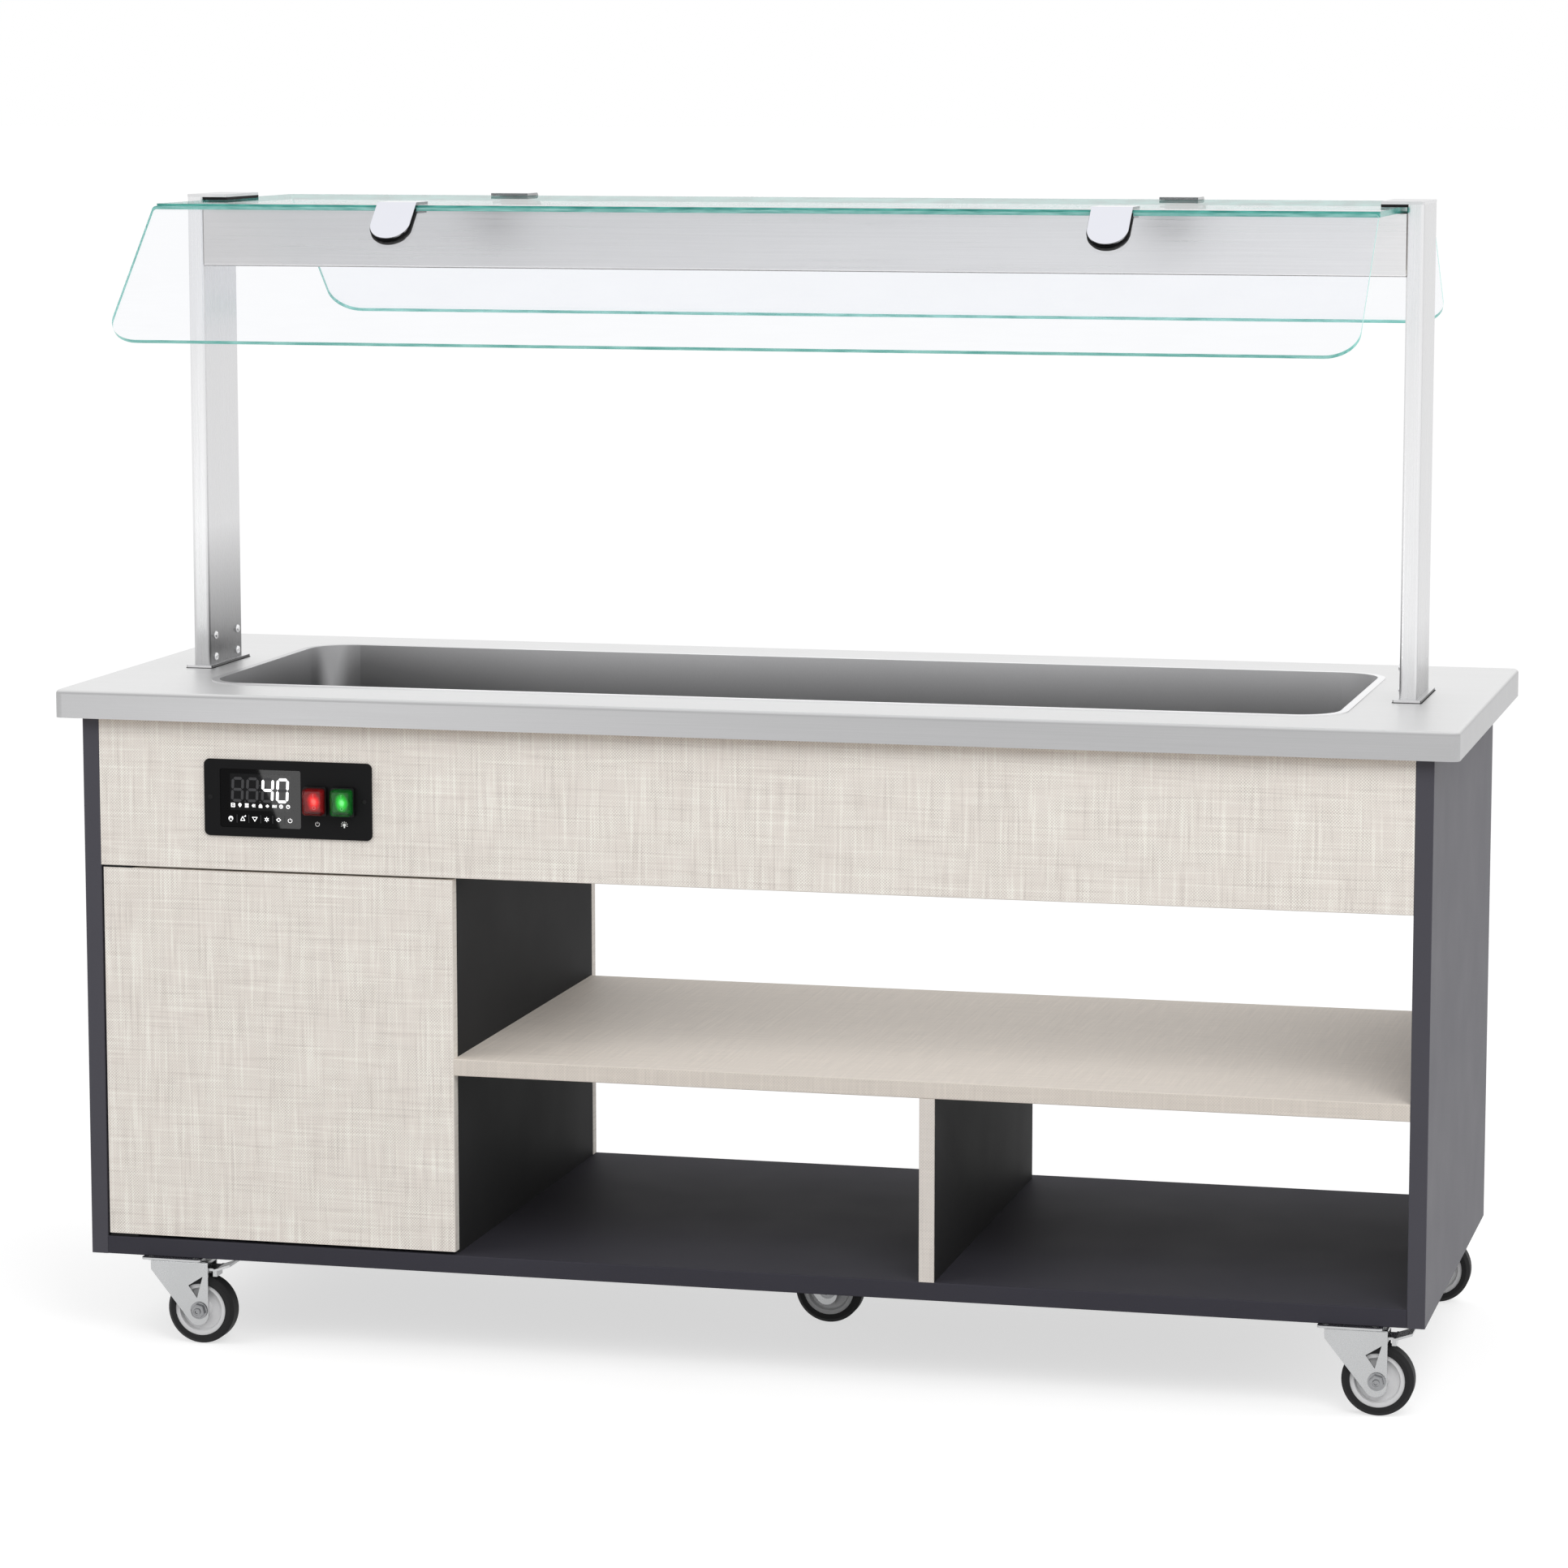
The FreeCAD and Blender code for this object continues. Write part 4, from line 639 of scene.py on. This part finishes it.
def disc(shape, centre, radius, near, far, steps=20):
    """A flat round spot."""
    points = []
    for i in range(steps):
        angle = math.tau * i / steps
        points.append((centre[0] + radius * math.cos(angle), centre[1] + radius * math.sin(angle)))
    prism(shape, points, near, far)


def stroke(shape, start, end, width, near, far):
    """A straight bar from start to end."""
    along = Vector((end[0] - start[0], end[1] - start[1])).normalized() * width / 2
    side = Vector((-along.y, along.x))
    corners = []
    for point, sign in ((start, -1), (end, 1)):
        corners.append((point[0] + side.x * sign, point[1] + side.y * sign))
        corners.append((point[0] - side.x * sign, point[1] - side.y * sign))
    prism(shape, corners, near, far)


def lathe(shape, origin, axis, profile, steps):
    """A turned form: profile gives radius and height along the axis, closed at both ends."""
    axis = Vector(axis).normalized()
    across = axis.orthogonal().normalized()
    other = axis.cross(across)
    rings = []
    for radius, height in profile:
        ring = []
        for i in range(steps):
            angle = math.tau * i / steps
            offset = across * math.cos(angle) * radius + other * math.sin(angle) * radius
            ring.append(Vector(origin) + axis * height + offset)
        rings.append(ring)
    tube(shape, rings, False)


def socket_screw(shape, origin, axis, radius, height):
    """Low domed head with a round recess, standing on a surface."""
    lathe(shape, origin, axis, [
        (radius, -0.2 * height), (radius, 0.35 * height), (radius * 0.92, 0.72 * height),
        (radius * 0.72, height), (radius * 0.48, height), (radius * 0.42, 0.35 * height),
        (radius * 0.12, 0.15 * height),
    ], 28)


# Control panel

panel_low, panel_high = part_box("control_bezel")
DISPLAY_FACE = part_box("display_module")[0].y
DISPLAY_NEAR = DISPLAY_FACE - 0.25 * MM
DISPLAY_FAR = DISPLAY_FACE + 0.05 * MM
WINDOW_NEAR = DISPLAY_FACE - 0.08 * MM
BEZEL_NEAR = panel_low.y - 0.15 * MM
BEZEL_FAR = panel_low.y + 0.05 * MM


def spot(u, v):
    """Place on the panel, in millimetres from its upper left corner."""
    return (panel_low.x + u * MM, panel_high.z - v * MM)


def at(centre, du, dv):
    """A point du to the right of and dv above a centre, in millimetres."""
    return (centre[0] + du * MM, centre[1] + dv * MM)


def around(centre, *offsets):
    """Points by their offsets from a centre."""
    return [at(centre, du, dv) for du, dv in offsets]


def segment(shape, start, end, width, near, far):
    """One bar of a seven-segment figure, pointed at both ends."""
    start, end = Vector(start), Vector(end)
    along = (end - start).normalized()
    side = Vector((-along.y, along.x)) * width / 2
    nib = along * width / 2
    start = start + along * width * 0.18
    end = end - along * width * 0.18
    outline = [start, start + nib + side, end - nib + side, end, end - nib - side, start + nib - side]
    prism(shape, [tuple(point) for point in outline], near, far)


SEGMENTS = {
    "a": ((0, 1), (1, 1)), "b": ((1, 1), (1, 0.5)), "c": ((1, 0.5), (1, 0)), "d": ((0, 0), (1, 0)),
    "e": ((0, 0.5), (0, 0)), "f": ((0, 1), (0, 0.5)), "g": ((0, 0.5), (1, 0.5)),
}
FIGURES = {"0": "abcdef", "4": "bcfg", "8": "abcdefg"}
DIGIT_WIDTH = 14.6
DIGIT_HEIGHT = 31.6
DIGIT_STROKE = 3.9
DIGIT_SLANT = 0.05
DIGIT_INSET = 1.2
DIGIT_FOOT = 58.4


def figure(shape, left, bars):
    """The given bars of one seven-segment figure."""
    for bar in bars:
        ends = []
        for across, up in SEGMENTS[bar]:
            u = left + DIGIT_INSET + across * DIGIT_WIDTH + up * DIGIT_HEIGHT * DIGIT_SLANT
            ends.append(spot(u, DIGIT_FOOT - up * DIGIT_HEIGHT))
        segment(shape, ends[0], ends[1], DIGIT_STROKE * MM, DISPLAY_NEAR, DISPLAY_FAR)


white_lit = glowing("display_white", (1.0, 1.0, 1.0, 1.0), 0.9)
grey_dim = speckled("display_dim_segment", srgb(66, 66, 68), 0.3, 900.0, Specular_IOR_Level=0.14)
# painted glow on the printed white marks
mark_white = glowing("printed_white_painted_glow", srgb(225, 225, 225), 0.25)
window_grey = gloss_black("display_window", srgb(22, 22, 23))

WINDOW = ((39.2, 21), (40.2, 20), (128.6, 20), (129.6, 21),
          (129.6, 71.5), (128.6, 72.5), (40.2, 72.5), (39.2, 71.5))
DIGITS = ((41.0, ""), (63.1, ""), (86.0, "4"), (108.2, "0"))
POINTS = ((83.6, 36), (83.6, 45), (61.4, 59.2), (83.6, 59.2), (106.4, 59.2))
POINT_RADIUS = 0.9 * MM

shape = bmesh.new()
prism(shape, [spot(u, v) for u, v in WINDOW], WINDOW_NEAR, DISPLAY_FAR)
keep("display_window", shape, "trolley", window_grey)

lit = bmesh.new()
dim = bmesh.new()
for left, sign in DIGITS:
    on = FIGURES.get(sign, "")
    figure(lit, left, on)
    figure(dim, left, [bar for bar in FIGURES["8"] if bar not in on])
for u, v in POINTS:
    disc(dim, spot(u, v), POINT_RADIUS, DISPLAY_NEAR, DISPLAY_FAR)
keep("display_figures", lit, "trolley", white_lit)
keep("display_blank_figures", dim, "trolley", grey_dim)


def status_icon(shape, kind, centre, near, far):
    """One of the small state signs under the figures."""
    def line(a, b, c, d, width=0.8):
        stroke(shape, at(centre, a, b), at(centre, c, d), width * MM, near, far)
    if kind == "square":
        for a, b, c, d in ((-2.5, 2.5, 2.5, 2.5), (-2.5, -2.5, 2.5, -2.5), (-2.5, 2.5, -2.5, -2.5),
                           (2.5, 2.5, 2.5, -2.5), (-1.2, 0, 1.4, 0)):
            line(a, b, c, d, 1.0)
    elif kind == "drop":
        disc(shape, at(centre, 0, 0.8), 2.4 * MM, near, far)
        prism(shape, around(centre, (-1.8, -0.4), (0, -3.2), (1.8, -0.4)), near, far)
    elif kind == "rows":
        for dv in (-2.4, -0.8, 0.8, 2.4):
            line(-2.8, dv, 2.8, dv, 0.9)
    elif kind == "arrow":
        prism(shape, around(centre, (-3, 0), (-0.5, 2.6), (-0.5, -2.6)), near, far)
        for dv in (1.6, 0, -1.6):
            line(-0.6, dv, 2.6, dv)
    elif kind == "lock":
        prism(shape, around(centre, (-2.6, -2.8), (2.6, -2.8), (2.6, 0.6), (-2.6, 0.6)), near, far)
        band(shape, at(centre, 0, 0.6), 1.6 * MM, 0.9 * MM, 0, 180, near, far, 12)
    elif kind == "diamond":
        prism(shape, around(centre, (-2.8, 0), (0, -2.4), (2.8, 0), (0, 2.4)), near, far)
    elif kind == "bars":
        for du in (-2.6, -0.9, 0.9, 2.6):
            line(du, -2.0, du + 0.5, 2.0, 0.9)
    elif kind == "dial":
        band(shape, centre, 2.4 * MM, 0.9 * MM, 0, 360, near, far, 20)
        line(-1.2, 0.8, 1.2, 0.8)
        line(0, 0.8, 0, -1.4)
    else:
        band(shape, centre, 2.4 * MM, 0.9 * MM, 0, 360, near, far, 20)
        line(-0.6, 0.2, 1.5, 1.5)


STATE_SIGNS = ("square", "drop", "rows", "arrow", "lock", "diamond", "bars", "dial", "clock")
STATE_START = 43.2
STATE_PITCH = 10.3
STATE_ROW = 65.2
KEY_DIVIDERS = (48.9, 66.7, 84.5, 102.4, 120.2)
KEY_TOP = 78.6
KEY_BOTTOM = 90.2

shape = bmesh.new()
for number, kind in enumerate(STATE_SIGNS):
    status_icon(shape, kind, spot(STATE_START + STATE_PITCH * number, STATE_ROW), DISPLAY_NEAR, DISPLAY_FAR)
keep("display_state_signs", shape, "trolley", white_lit)

shape = bmesh.new()
for u in KEY_DIVIDERS:
    stroke(shape, spot(u, KEY_TOP), spot(u, KEY_BOTTOM), 0.7 * MM, DISPLAY_NEAR, DISPLAY_FAR)
keep("touch_key_dividers", shape, "trolley", grey_dim)


def power_sign(shape, centre, size, near, far):
    """An open ring with a bar through its gap."""
    width = 0.22 * size * MM
    band(shape, centre, size * MM, width, 125, 415, near, far, 30)
    stroke(shape, at(centre, 0, 0.25 * size), at(centre, 0, 1.25 * size), width, near, far)


def outline_sign(shape, points, width, near, far):
    """Straight bars round a figure."""
    for first, second in zip(points, points[1:] + points[:1]):
        stroke(shape, first, second, width * MM, near, far)


KEY_ROW = 84.4
LAMP_KEY, UP_KEY, DOWN_KEY, FAN_KEY, SET_KEY = [spot(u, KEY_ROW) for u in (39.6, 57.6, 75.6, 93.4, 111.3)]
POWER_KEY = spot(128.4, 85.0)
POWER_SIGN = spot(169.5, 88.4)
LIGHT_SIGN = spot(209.5, 88.6)
POWER_SIGN_SIZE = 2.9

shape = bmesh.new()
near, far = DISPLAY_NEAR, DISPLAY_FAR
band(shape, LAMP_KEY, 2.9 * MM, 1.0 * MM, -50, 230, near, far, 24)
stroke(shape, at(LAMP_KEY, -1.6, -3.6), at(LAMP_KEY, 1.6, -3.6), 1.2 * MM, near, far)
for angle in range(0, 181, 45):
    du, dv = heading(angle)
    disc(shape, at(LAMP_KEY, 1.5 * du, 1.5 * dv), 0.5 * MM, near, far, 10)
outline_sign(shape, around(UP_KEY, (-3.4, -2.6), (3.0, -2.6), (-0.2, 3.2)), 0.8, near, far)
for number, height in enumerate((0.8, 1.6, 2.4)):
    foot, tip = around(UP_KEY, (2.2 + number, 2.8), (2.2 + number, 2.8 + height))
    stroke(shape, foot, tip, 0.7 * MM, near, far)
outline_sign(shape, around(DOWN_KEY, (-3.6, 2.6), (3.6, 2.6), (0, -3.2)), 0.8, near, far)
band(shape, FAN_KEY, 1.5 * MM, 0.8 * MM, 0, 360, near, far, 18)
for angle in range(30, 390, 60):
    du, dv = heading(angle)
    stroke(shape, at(FAN_KEY, 1.9 * du, 1.9 * dv), at(FAN_KEY, 3.4 * du, 3.4 * dv), 1.0 * MM, near, far)
outline_sign(shape, around(SET_KEY, (-3.2, 0), (0, -2.6), (3.2, 0), (0, 2.6)), 0.9, near, far)
power_sign(shape, POWER_KEY, POWER_SIGN_SIZE, near, far)
keep("touch_key_signs", shape, "trolley", white_lit)

shape = bmesh.new()
near, far = BEZEL_NEAR, BEZEL_FAR
power_sign(shape, POWER_SIGN, POWER_SIGN_SIZE, near, far)
disc(shape, at(LIGHT_SIGN, 0, 0.4), 2.2 * MM, near, far)
stroke(shape, at(LIGHT_SIGN, 0, -1.4), at(LIGHT_SIGN, 0, -3.8), 1.9 * MM, near, far)
for angle in (-20, 20, 55, 90, 125, 160, 200):
    du, dv = heading(angle)
    start, end = around(LIGHT_SIGN, (3.3 * du, 0.4 + 3.3 * dv), (5.2 * du, 0.4 + 5.2 * dv))
    stroke(shape, start, end, 0.7 * MM, near, far)
keep("switch_signs", shape, "trolley", mark_white)


RAY_START = 100 * MM
MARK_RISE = 0.12 * MM
MARK_SINK = 0.04 * MM
BAR_HALF = 0.45 * MM
BAR_START = 6.4
BAR_LENGTH = 5.0
RING_DROP = 8.8 * MM
RING_RADII = (1.7 * MM, 2.6 * MM)


def strip_on(shape, surface, pairs, closed):
    """A thin mark that follows a curved face, from pairs of x and z on its two sides."""
    rows = []
    for (ax, az), (bx, bz) in pairs:
        starts = [Vector((x, panel_low.y - RAY_START, z)) for x, z in ((ax, az), (bx, bz))]
        ay, by = [surface.ray_cast(start, Vector((0, 1, 0)))[0].y for start in starts]
        rows.append([(ax, ay - MARK_RISE, az), (bx, by - MARK_RISE, bz),
                     (bx, by + MARK_SINK, bz), (ax, ay + MARK_SINK, az)])
    tube(shape, rows, closed)


for name in ("power_rocker", "light_rocker"):
    mesh = nodes[name].data
    surface = BVHTree.FromPolygons([point.co for point in mesh.vertices],
                                   [face.vertices for face in mesh.polygons])
    place = middle(name)
    shape = bmesh.new()
    bar = []
    for i in range(7):
        z = place.z + (BAR_START + BAR_LENGTH * i / 6) * MM
        bar.append(((place.x - BAR_HALF, z), (place.x + BAR_HALF, z)))
    strip_on(shape, surface, bar, False)
    ring = []
    for i in range(24):
        angle = math.tau * i / 24
        ring.append([(place.x + reach * math.cos(angle), place.z - RING_DROP + reach * math.sin(angle))
                     for reach in RING_RADII])
    strip_on(shape, surface, ring, True)
    keep(name + "_marks", shape, name, mark_white)

BEZEL_SCREWS = ((9.8, 54.0), (239.8, 54.0))
shape = bmesh.new()
for u, v in BEZEL_SCREWS:
    x, z = spot(u, v)
    socket_screw(shape, (x, panel_low.y, z), (0, -1, 0), 3.4 * MM, 1.0 * MM)
keep("bezel_screws", shape, "trolley", looks["switch_black"])


# Casters

NUT_REACH = 6.0 * MM
WASHER = ((12.6, -0.2), (12.6, 1.2), (12.0, 1.6), (8.0, 1.6))
NUT = ((10.6, 1.0), (10.6, 6.0), (9.2, 7.2), (5.2, 7.2))
AXLE_TIP = ((5.0, 5.0), (5.0, 9.0), (4.2, 10.0), (2.6, 10.0), (2.2, 8.2), (0.4, 7.8))
for name in WHEELS:
    axle = middle(name + "_hub")
    fork_low, fork_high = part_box(name + "_fork")
    shape = bmesh.new()
    for sign, side in ((-1, fork_low.y + NUT_REACH), (1, fork_high.y - NUT_REACH)):
        for profile, steps in ((WASHER, 36), (NUT, 6), (AXLE_TIP, 28)):
            lathe(shape, (axle.x, side, axle.z), (0, sign, 0),
                  [(radius * MM, height * MM) for radius, height in profile], steps)
    keep(name + "_axle_ends", shape, name + "_swivel", looks["bolt_zinc"])

BOLT_X = 34 * MM
BOLT_Y = 27 * MM
BOLT_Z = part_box("bottom_panel")[0].z - 3 * MM
shape = bmesh.new()
for joint in frame["joints"]:
    if joint["name"].endswith("_swivel_turn"):
        x, y, z = joint["pos_m"]
        for dx in (-BOLT_X, BOLT_X):
            for dy in (-BOLT_Y, BOLT_Y):
                socket_screw(shape, (x + dx, y + dy, BOLT_Z), (0, 0, -1), 6.5 * MM, 2.0 * MM)
keep("caster_bolts", shape, "trolley", looks["zinc"])


# Glass clamps: rubber liners between the leaves and the panes

top_low, top_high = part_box("top_glass")
CLAMP_HALF = 28.5 * MM
CLAMP_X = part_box("front_clamps")[1].x - CLAMP_HALF
LINER_HALF = CLAMP_HALF + 1.3 * MM
LINER_START = 6.0 * MM
LINER_END = 71.3 * MM
PANE_THICKNESS = 6.0 * MM
BEND_Y = top_low.y - 4.5 * MM
BEND_Z = top_high.z
DOWN_SLOPE = Vector((0.0, -PANE_RUN, -PANE_DROP)).normalized()
LINER_NEAR = 0.02 * MM
LINER_FAR = 0.28 * MM


def liner(shape, x, near, far, side):
    """Tongue-shaped pad on a slanted pane, from depth near to depth far in the glass clamp."""
    inward = Vector((0.0, -DOWN_SLOPE.z, DOWN_SLOPE.y))
    outline = [(-LINER_HALF, LINER_START), (LINER_HALF, LINER_START)]
    for i in range(25):
        angle = math.pi * i / 24
        along = LINER_END - LINER_HALF + LINER_HALF * math.sin(angle)
        outline.append((LINER_HALF * math.cos(angle), along))
    rings = []
    for depth in (near, far):
        ring = []
        for across, along in outline:
            point = Vector((x + across, BEND_Y, BEND_Z)) + DOWN_SLOPE * along + inward * depth
            ring.append((point.x, point.y * side, point.z))
        rings.append(ring)
    tube(shape, rings, False)


for name, side in (("front", 1), ("rear", -1)):
    shape = bmesh.new()
    for x in (-CLAMP_X, CLAMP_X):
        liner(shape, x, -LINER_FAR, -LINER_NEAR, side)
        liner(shape, x, PANE_THICKNESS + LINER_NEAR, PANE_THICKNESS + LINER_FAR, side)
    keep(name + "_clamp_liners", shape, "trolley", looks["black_rubber"])


def soften(name, width, segments):
    """Rounds the sharp edges of a node that stays in view."""
    weld = nodes[name].modifiers.new("weld", "WELD")
    weld.merge_threshold = 0.01 * MM
    bevel = nodes[name].modifiers.new("bevel", "BEVEL")
    bevel.width = width
    bevel.segments = segments
    bevel.limit_method = "ANGLE"
    bevel.angle_limit = math.radians(40)


for name in ("front_clamps", "rear_clamps"):
    soften(name, 1.1 * MM, 3)


# Screws and blind plugs in the holes at the feet of the posts

HOLE_Y = 46.5 * MM
HOLE_ROWS = (10.0 * MM, 42.0 * MM)
SCREW_RADIUS = 6.0 * MM
SCREW_RISE = 3.6 * MM
SHANK = ((0.70, -1.5 * MM), (0.70, 0.02 * MM), (1.0, 0.02 * MM))
HEAD = ((1.0, 0.30), (0.93, 0.62), (0.76, 0.88), (0.50, 1.0), (0.34, 1.0), (0.30, 0.45), (0.10, 0.40))
SCREW = [(SCREW_RADIUS * wide, rise) for wide, rise in SHANK]
SCREW += [(SCREW_RADIUS * wide, SCREW_RISE * tall) for wide, tall in HEAD]
PLUG_RADIUS = 4.45 * MM
PLUG_RISE = 0.15 * MM
PLUG = [(PLUG_RADIUS, -1.6 * MM), (PLUG_RADIUS, 0.0), (PLUG_RADIUS * 0.94, PLUG_RISE),
        (PLUG_RADIUS * 0.20, PLUG_RISE)]
polished = satin_steel("screw_polished", srgb(246, 246, 247), 0.16, 900.0)
for name, side in (("left_post", 1), ("right_post", -1)):
    low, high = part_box(name)
    inner_face, outer_face = (high.x, low.x) if side > 0 else (low.x, high.x)
    screws = bmesh.new()
    plugs = bmesh.new()
    for y in (-HOLE_Y, HOLE_Y):
        for rise in HOLE_ROWS:
            z = low.z + rise
            lathe(screws, (inner_face, y, z), (side, 0, 0), SCREW, 28)
            lathe(plugs, (outer_face, y, z), (-side, 0, 0), PLUG, 28)
    keep(name + "_screws", screws, "trolley", polished)
    # The plugs take their post's steel, with its painted shade.
    keep(name + "_plugs", plugs, "trolley", looks[name + "_steel"])


# Sealing bead round the base plates of the posts

BASE_HALF_X = 20.0 * MM
BASE_CORNER = 3.0 * MM
BEAD_HEIGHT = 0.9 * MM
BEAD_WIDTH = 1.3 * MM
BEAD_LIFT = 0.05 * MM


def plate_outline(x, half_x, half_y, corner):
    """Points of a rounded rectangle round a base plate."""
    points = []
    for quarter, (sx, sy) in enumerate(((1, 1), (-1, 1), (-1, -1), (1, -1))):
        for i in range(7):
            angle = math.pi / 2 * (quarter + i / 6)
            points.append((x + sx * (half_x - corner) + corner * math.cos(angle),
                           sy * (half_y - corner) + corner * math.sin(angle)))
    return points


base_low, base_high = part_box("post_bases")
shape = bmesh.new()
for x in (base_low.x + BASE_HALF_X, base_high.x - BASE_HALF_X):
    inner = plate_outline(x, BASE_HALF_X, base_high.y, BASE_CORNER)
    outer = plate_outline(x, BASE_HALF_X + BEAD_WIDTH, base_high.y + BEAD_WIDTH, BASE_CORNER + BEAD_WIDTH)
    rows = []
    for near, far in zip(inner, outer):
        between = ((near[0] + 2 * far[0]) / 3, (near[1] + 2 * far[1]) / 3)
        rows.append([(*near, base_low.z + BEAD_LIFT), (*near, base_low.z + BEAD_HEIGHT),
                     (*between, base_low.z + BEAD_HEIGHT * 0.8), (*far, base_low.z + BEAD_LIFT)])
    tube(shape, rows, True)
keep("post_base_beads", shape, "trolley", looks["black_rubber"])


# Drain strainer in the well floor

STRAINER_RADIUS = 22 * MM
STRAINER_THICKNESS = 3.0 * MM
HOLE_RINGS = ((0.30, 6), (0.55, 12))


def strainer(shape, centre, radius, thickness):
    """Round sieve plate with a raised rim and two rings of collared holes."""
    plate = thickness * 0.45
    lathe(shape, centre, (0, 0, 1), [
        (radius, -0.3 * MM), (radius, thickness * 0.5), (radius * 0.96, thickness),
        (radius * 0.86, thickness), (radius * 0.82, plate), (radius * 0.10, plate),
    ], 40)
    for ring, count in HOLE_RINGS:
        for number in range(count):
            angle = math.tau * number / count
            x = centre[0] + radius * ring * math.cos(angle)
            y = centre[1] + radius * ring * math.sin(angle)
            lathe(shape, (x, y, centre[2] + plate), (0, 0, 1), [
                (radius * 0.085, -0.1 * MM), (radius * 0.085, 0.25 * MM), (radius * 0.060, 0.25 * MM),
                (radius * 0.055, -0.05 * MM),
            ], 14)


valve_low, valve_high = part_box("drain_valve")
shape = bmesh.new()
strainer(shape, ((valve_low.x + valve_high.x) / 2, 0.0, valve_high.z), STRAINER_RADIUS, STRAINER_THICKNESS)
# The strainer takes the well's steel, with its painted shade.
keep("drain_strainer", shape, "trolley", looks["well_steel"])


# Screws of the rear cover

COVER_INSET = 30 * MM
cover_low, cover_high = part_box("rear_cover")
shape = bmesh.new()
for x in (cover_low.x + COVER_INSET, (cover_low.x + cover_high.x) / 2, cover_high.x - COVER_INSET):
    for z in (cover_low.z + COVER_INSET, cover_high.z - COVER_INSET):
        socket_screw(shape, (x, cover_high.y, z), (0, 1, 0), 4.5 * MM, 2.0 * MM)
keep("rear_cover_screws", shape, "trolley", looks["zinc"])


# Floor, light and camera

WHITE = (1.0, 1.0, 1.0, 1.0)
WORLD_LIGHT = 0.76
WORLD_SEEN = 1.0
FLOOR_TONES = (0.49, 0.51)
FLOOR_GLOW = 0.635
FLOOR_REACH = 150.0
FLOOR_DROP = 0.5 * MM
SOFT_LAMPS = (
    ("key", (2.6, -4.2, 4.6), (0, 0, 0.8), (3.0, 3.0), 120),
    ("side", (5.5, 0.6, 2.0), (0.9, 0, 0.6), (2.5, 2.5), 60),
    ("fill", (-4.0, -3.0, 3.5), (0, 0, 0.9), (3.0, 3.0), 40),
)
BAY_LAMP = ("bay", (0.26, 0.0, 0.69), (0.26, 0.0001, 0.44), (1.3, 0.6), 1.0)
STRIP_LAMP = ("strip", (-1.805, -3.80, 0.3215), (-0.69, -0.368, 0.80), (0.2, 0.3), 2.6)
STRIP_ROLL = math.radians(19.3)
LENS = 118.58
CAMERA_PLACE = Vector((1.765, -7.229, 1.826))
CAMERA_TARGET = Vector((-0.0229, 0.0, 0.7951))


def area_light(name, place, target, size, energy):
    """A rectangular lamp that shines at a target."""
    data = bpy.data.lights.new(name, "AREA")
    data.shape = "RECTANGLE"
    data.size, data.size_y = size
    data.energy = energy
    lamp = bpy.data.objects.new(name, data)
    scene.collection.objects.link(lamp)
    lamp.location = place
    lamp.rotation_euler = (Vector(target) - Vector(place)).to_track_quat("-Z", "Y").to_euler()
    return lamp


def seen_white(tree):
    """1 where the camera, a reflection or a view through glass looks, 0 for the light itself."""
    path = tree.nodes.new("ShaderNodeLightPath")
    total = path.outputs["Is Camera Ray"]
    for extra in ("Is Glossy Ray", "Is Transmission Ray"):
        joined = tree.nodes.new("ShaderNodeMath")
        joined.operation = "MAXIMUM"
        tree.links.new(total, joined.inputs[0])
        tree.links.new(path.outputs[extra], joined.inputs[1])
        total = joined.outputs[0]
    return total


world = bpy.data.worlds.new("studio")
scene.world = world
world.use_nodes = True
tree = world.node_tree
tree.nodes.clear()
backgrounds = []
for strength in (WORLD_LIGHT, WORLD_SEEN):
    background = tree.nodes.new("ShaderNodeBackground")
    background.inputs["Color"].default_value = WHITE
    background.inputs["Strength"].default_value = strength
    backgrounds.append(background)
chosen = tree.nodes.new("ShaderNodeMixShader")
tree.links.new(seen_white(tree), chosen.inputs[0])
tree.links.new(backgrounds[0].outputs[0], chosen.inputs[1])
tree.links.new(backgrounds[1].outputs[0], chosen.inputs[2])
tree.links.new(chosen.outputs[0], tree.nodes.new("ShaderNodeOutputWorld").inputs["Surface"])

finish = Finish("studio_floor", Roughness=1.0, Specular_IOR_Level=0.0, Emission_Color=WHITE)
dark, light = [(tone, tone, tone, 1.0) for tone in FLOOR_TONES]
finish.colour(finish.ramp(finish.noise(3.0), [(0.3, dark), (0.7, light)]))
glow = finish.math("MULTIPLY", seen_white(finish.tree), FLOOR_GLOW)
finish.join(glow, finish.surface.inputs["Emission Strength"])
shape = bmesh.new()
bmesh.ops.create_grid(shape, x_segments=8, y_segments=8, size=FLOOR_REACH)
mesh = bpy.data.meshes.new("studio_floor")
shape.to_mesh(mesh)
shape.free()
mesh.materials.append(finish.material)
floor = bpy.data.objects.new("studio_floor", mesh)
scene.collection.objects.link(floor)
floor.location.z = cad_bounds[0][2] - FLOOR_DROP

for lamp in SOFT_LAMPS:
    area_light(*lamp).visible_glossy = False
area_light(*BAY_LAMP)
strip = area_light(*STRIP_LAMP)
rolled = strip.rotation_euler.to_quaternion() @ Quaternion((0, 0, 1), STRIP_ROLL)
strip.rotation_euler = rolled.to_euler()

camera_data = bpy.data.cameras.new("camera")
camera_data.lens = LENS
camera_data.sensor_width = 36.0
camera_data.sensor_fit = "HORIZONTAL"
camera_data.clip_end = 1000.0
camera = bpy.data.objects.new("camera", camera_data)
scene.collection.objects.link(camera)
camera.location = CAMERA_PLACE
camera.rotation_euler = (CAMERA_TARGET - CAMERA_PLACE).to_track_quat("-Z", "Y").to_euler()
scene.camera = camera
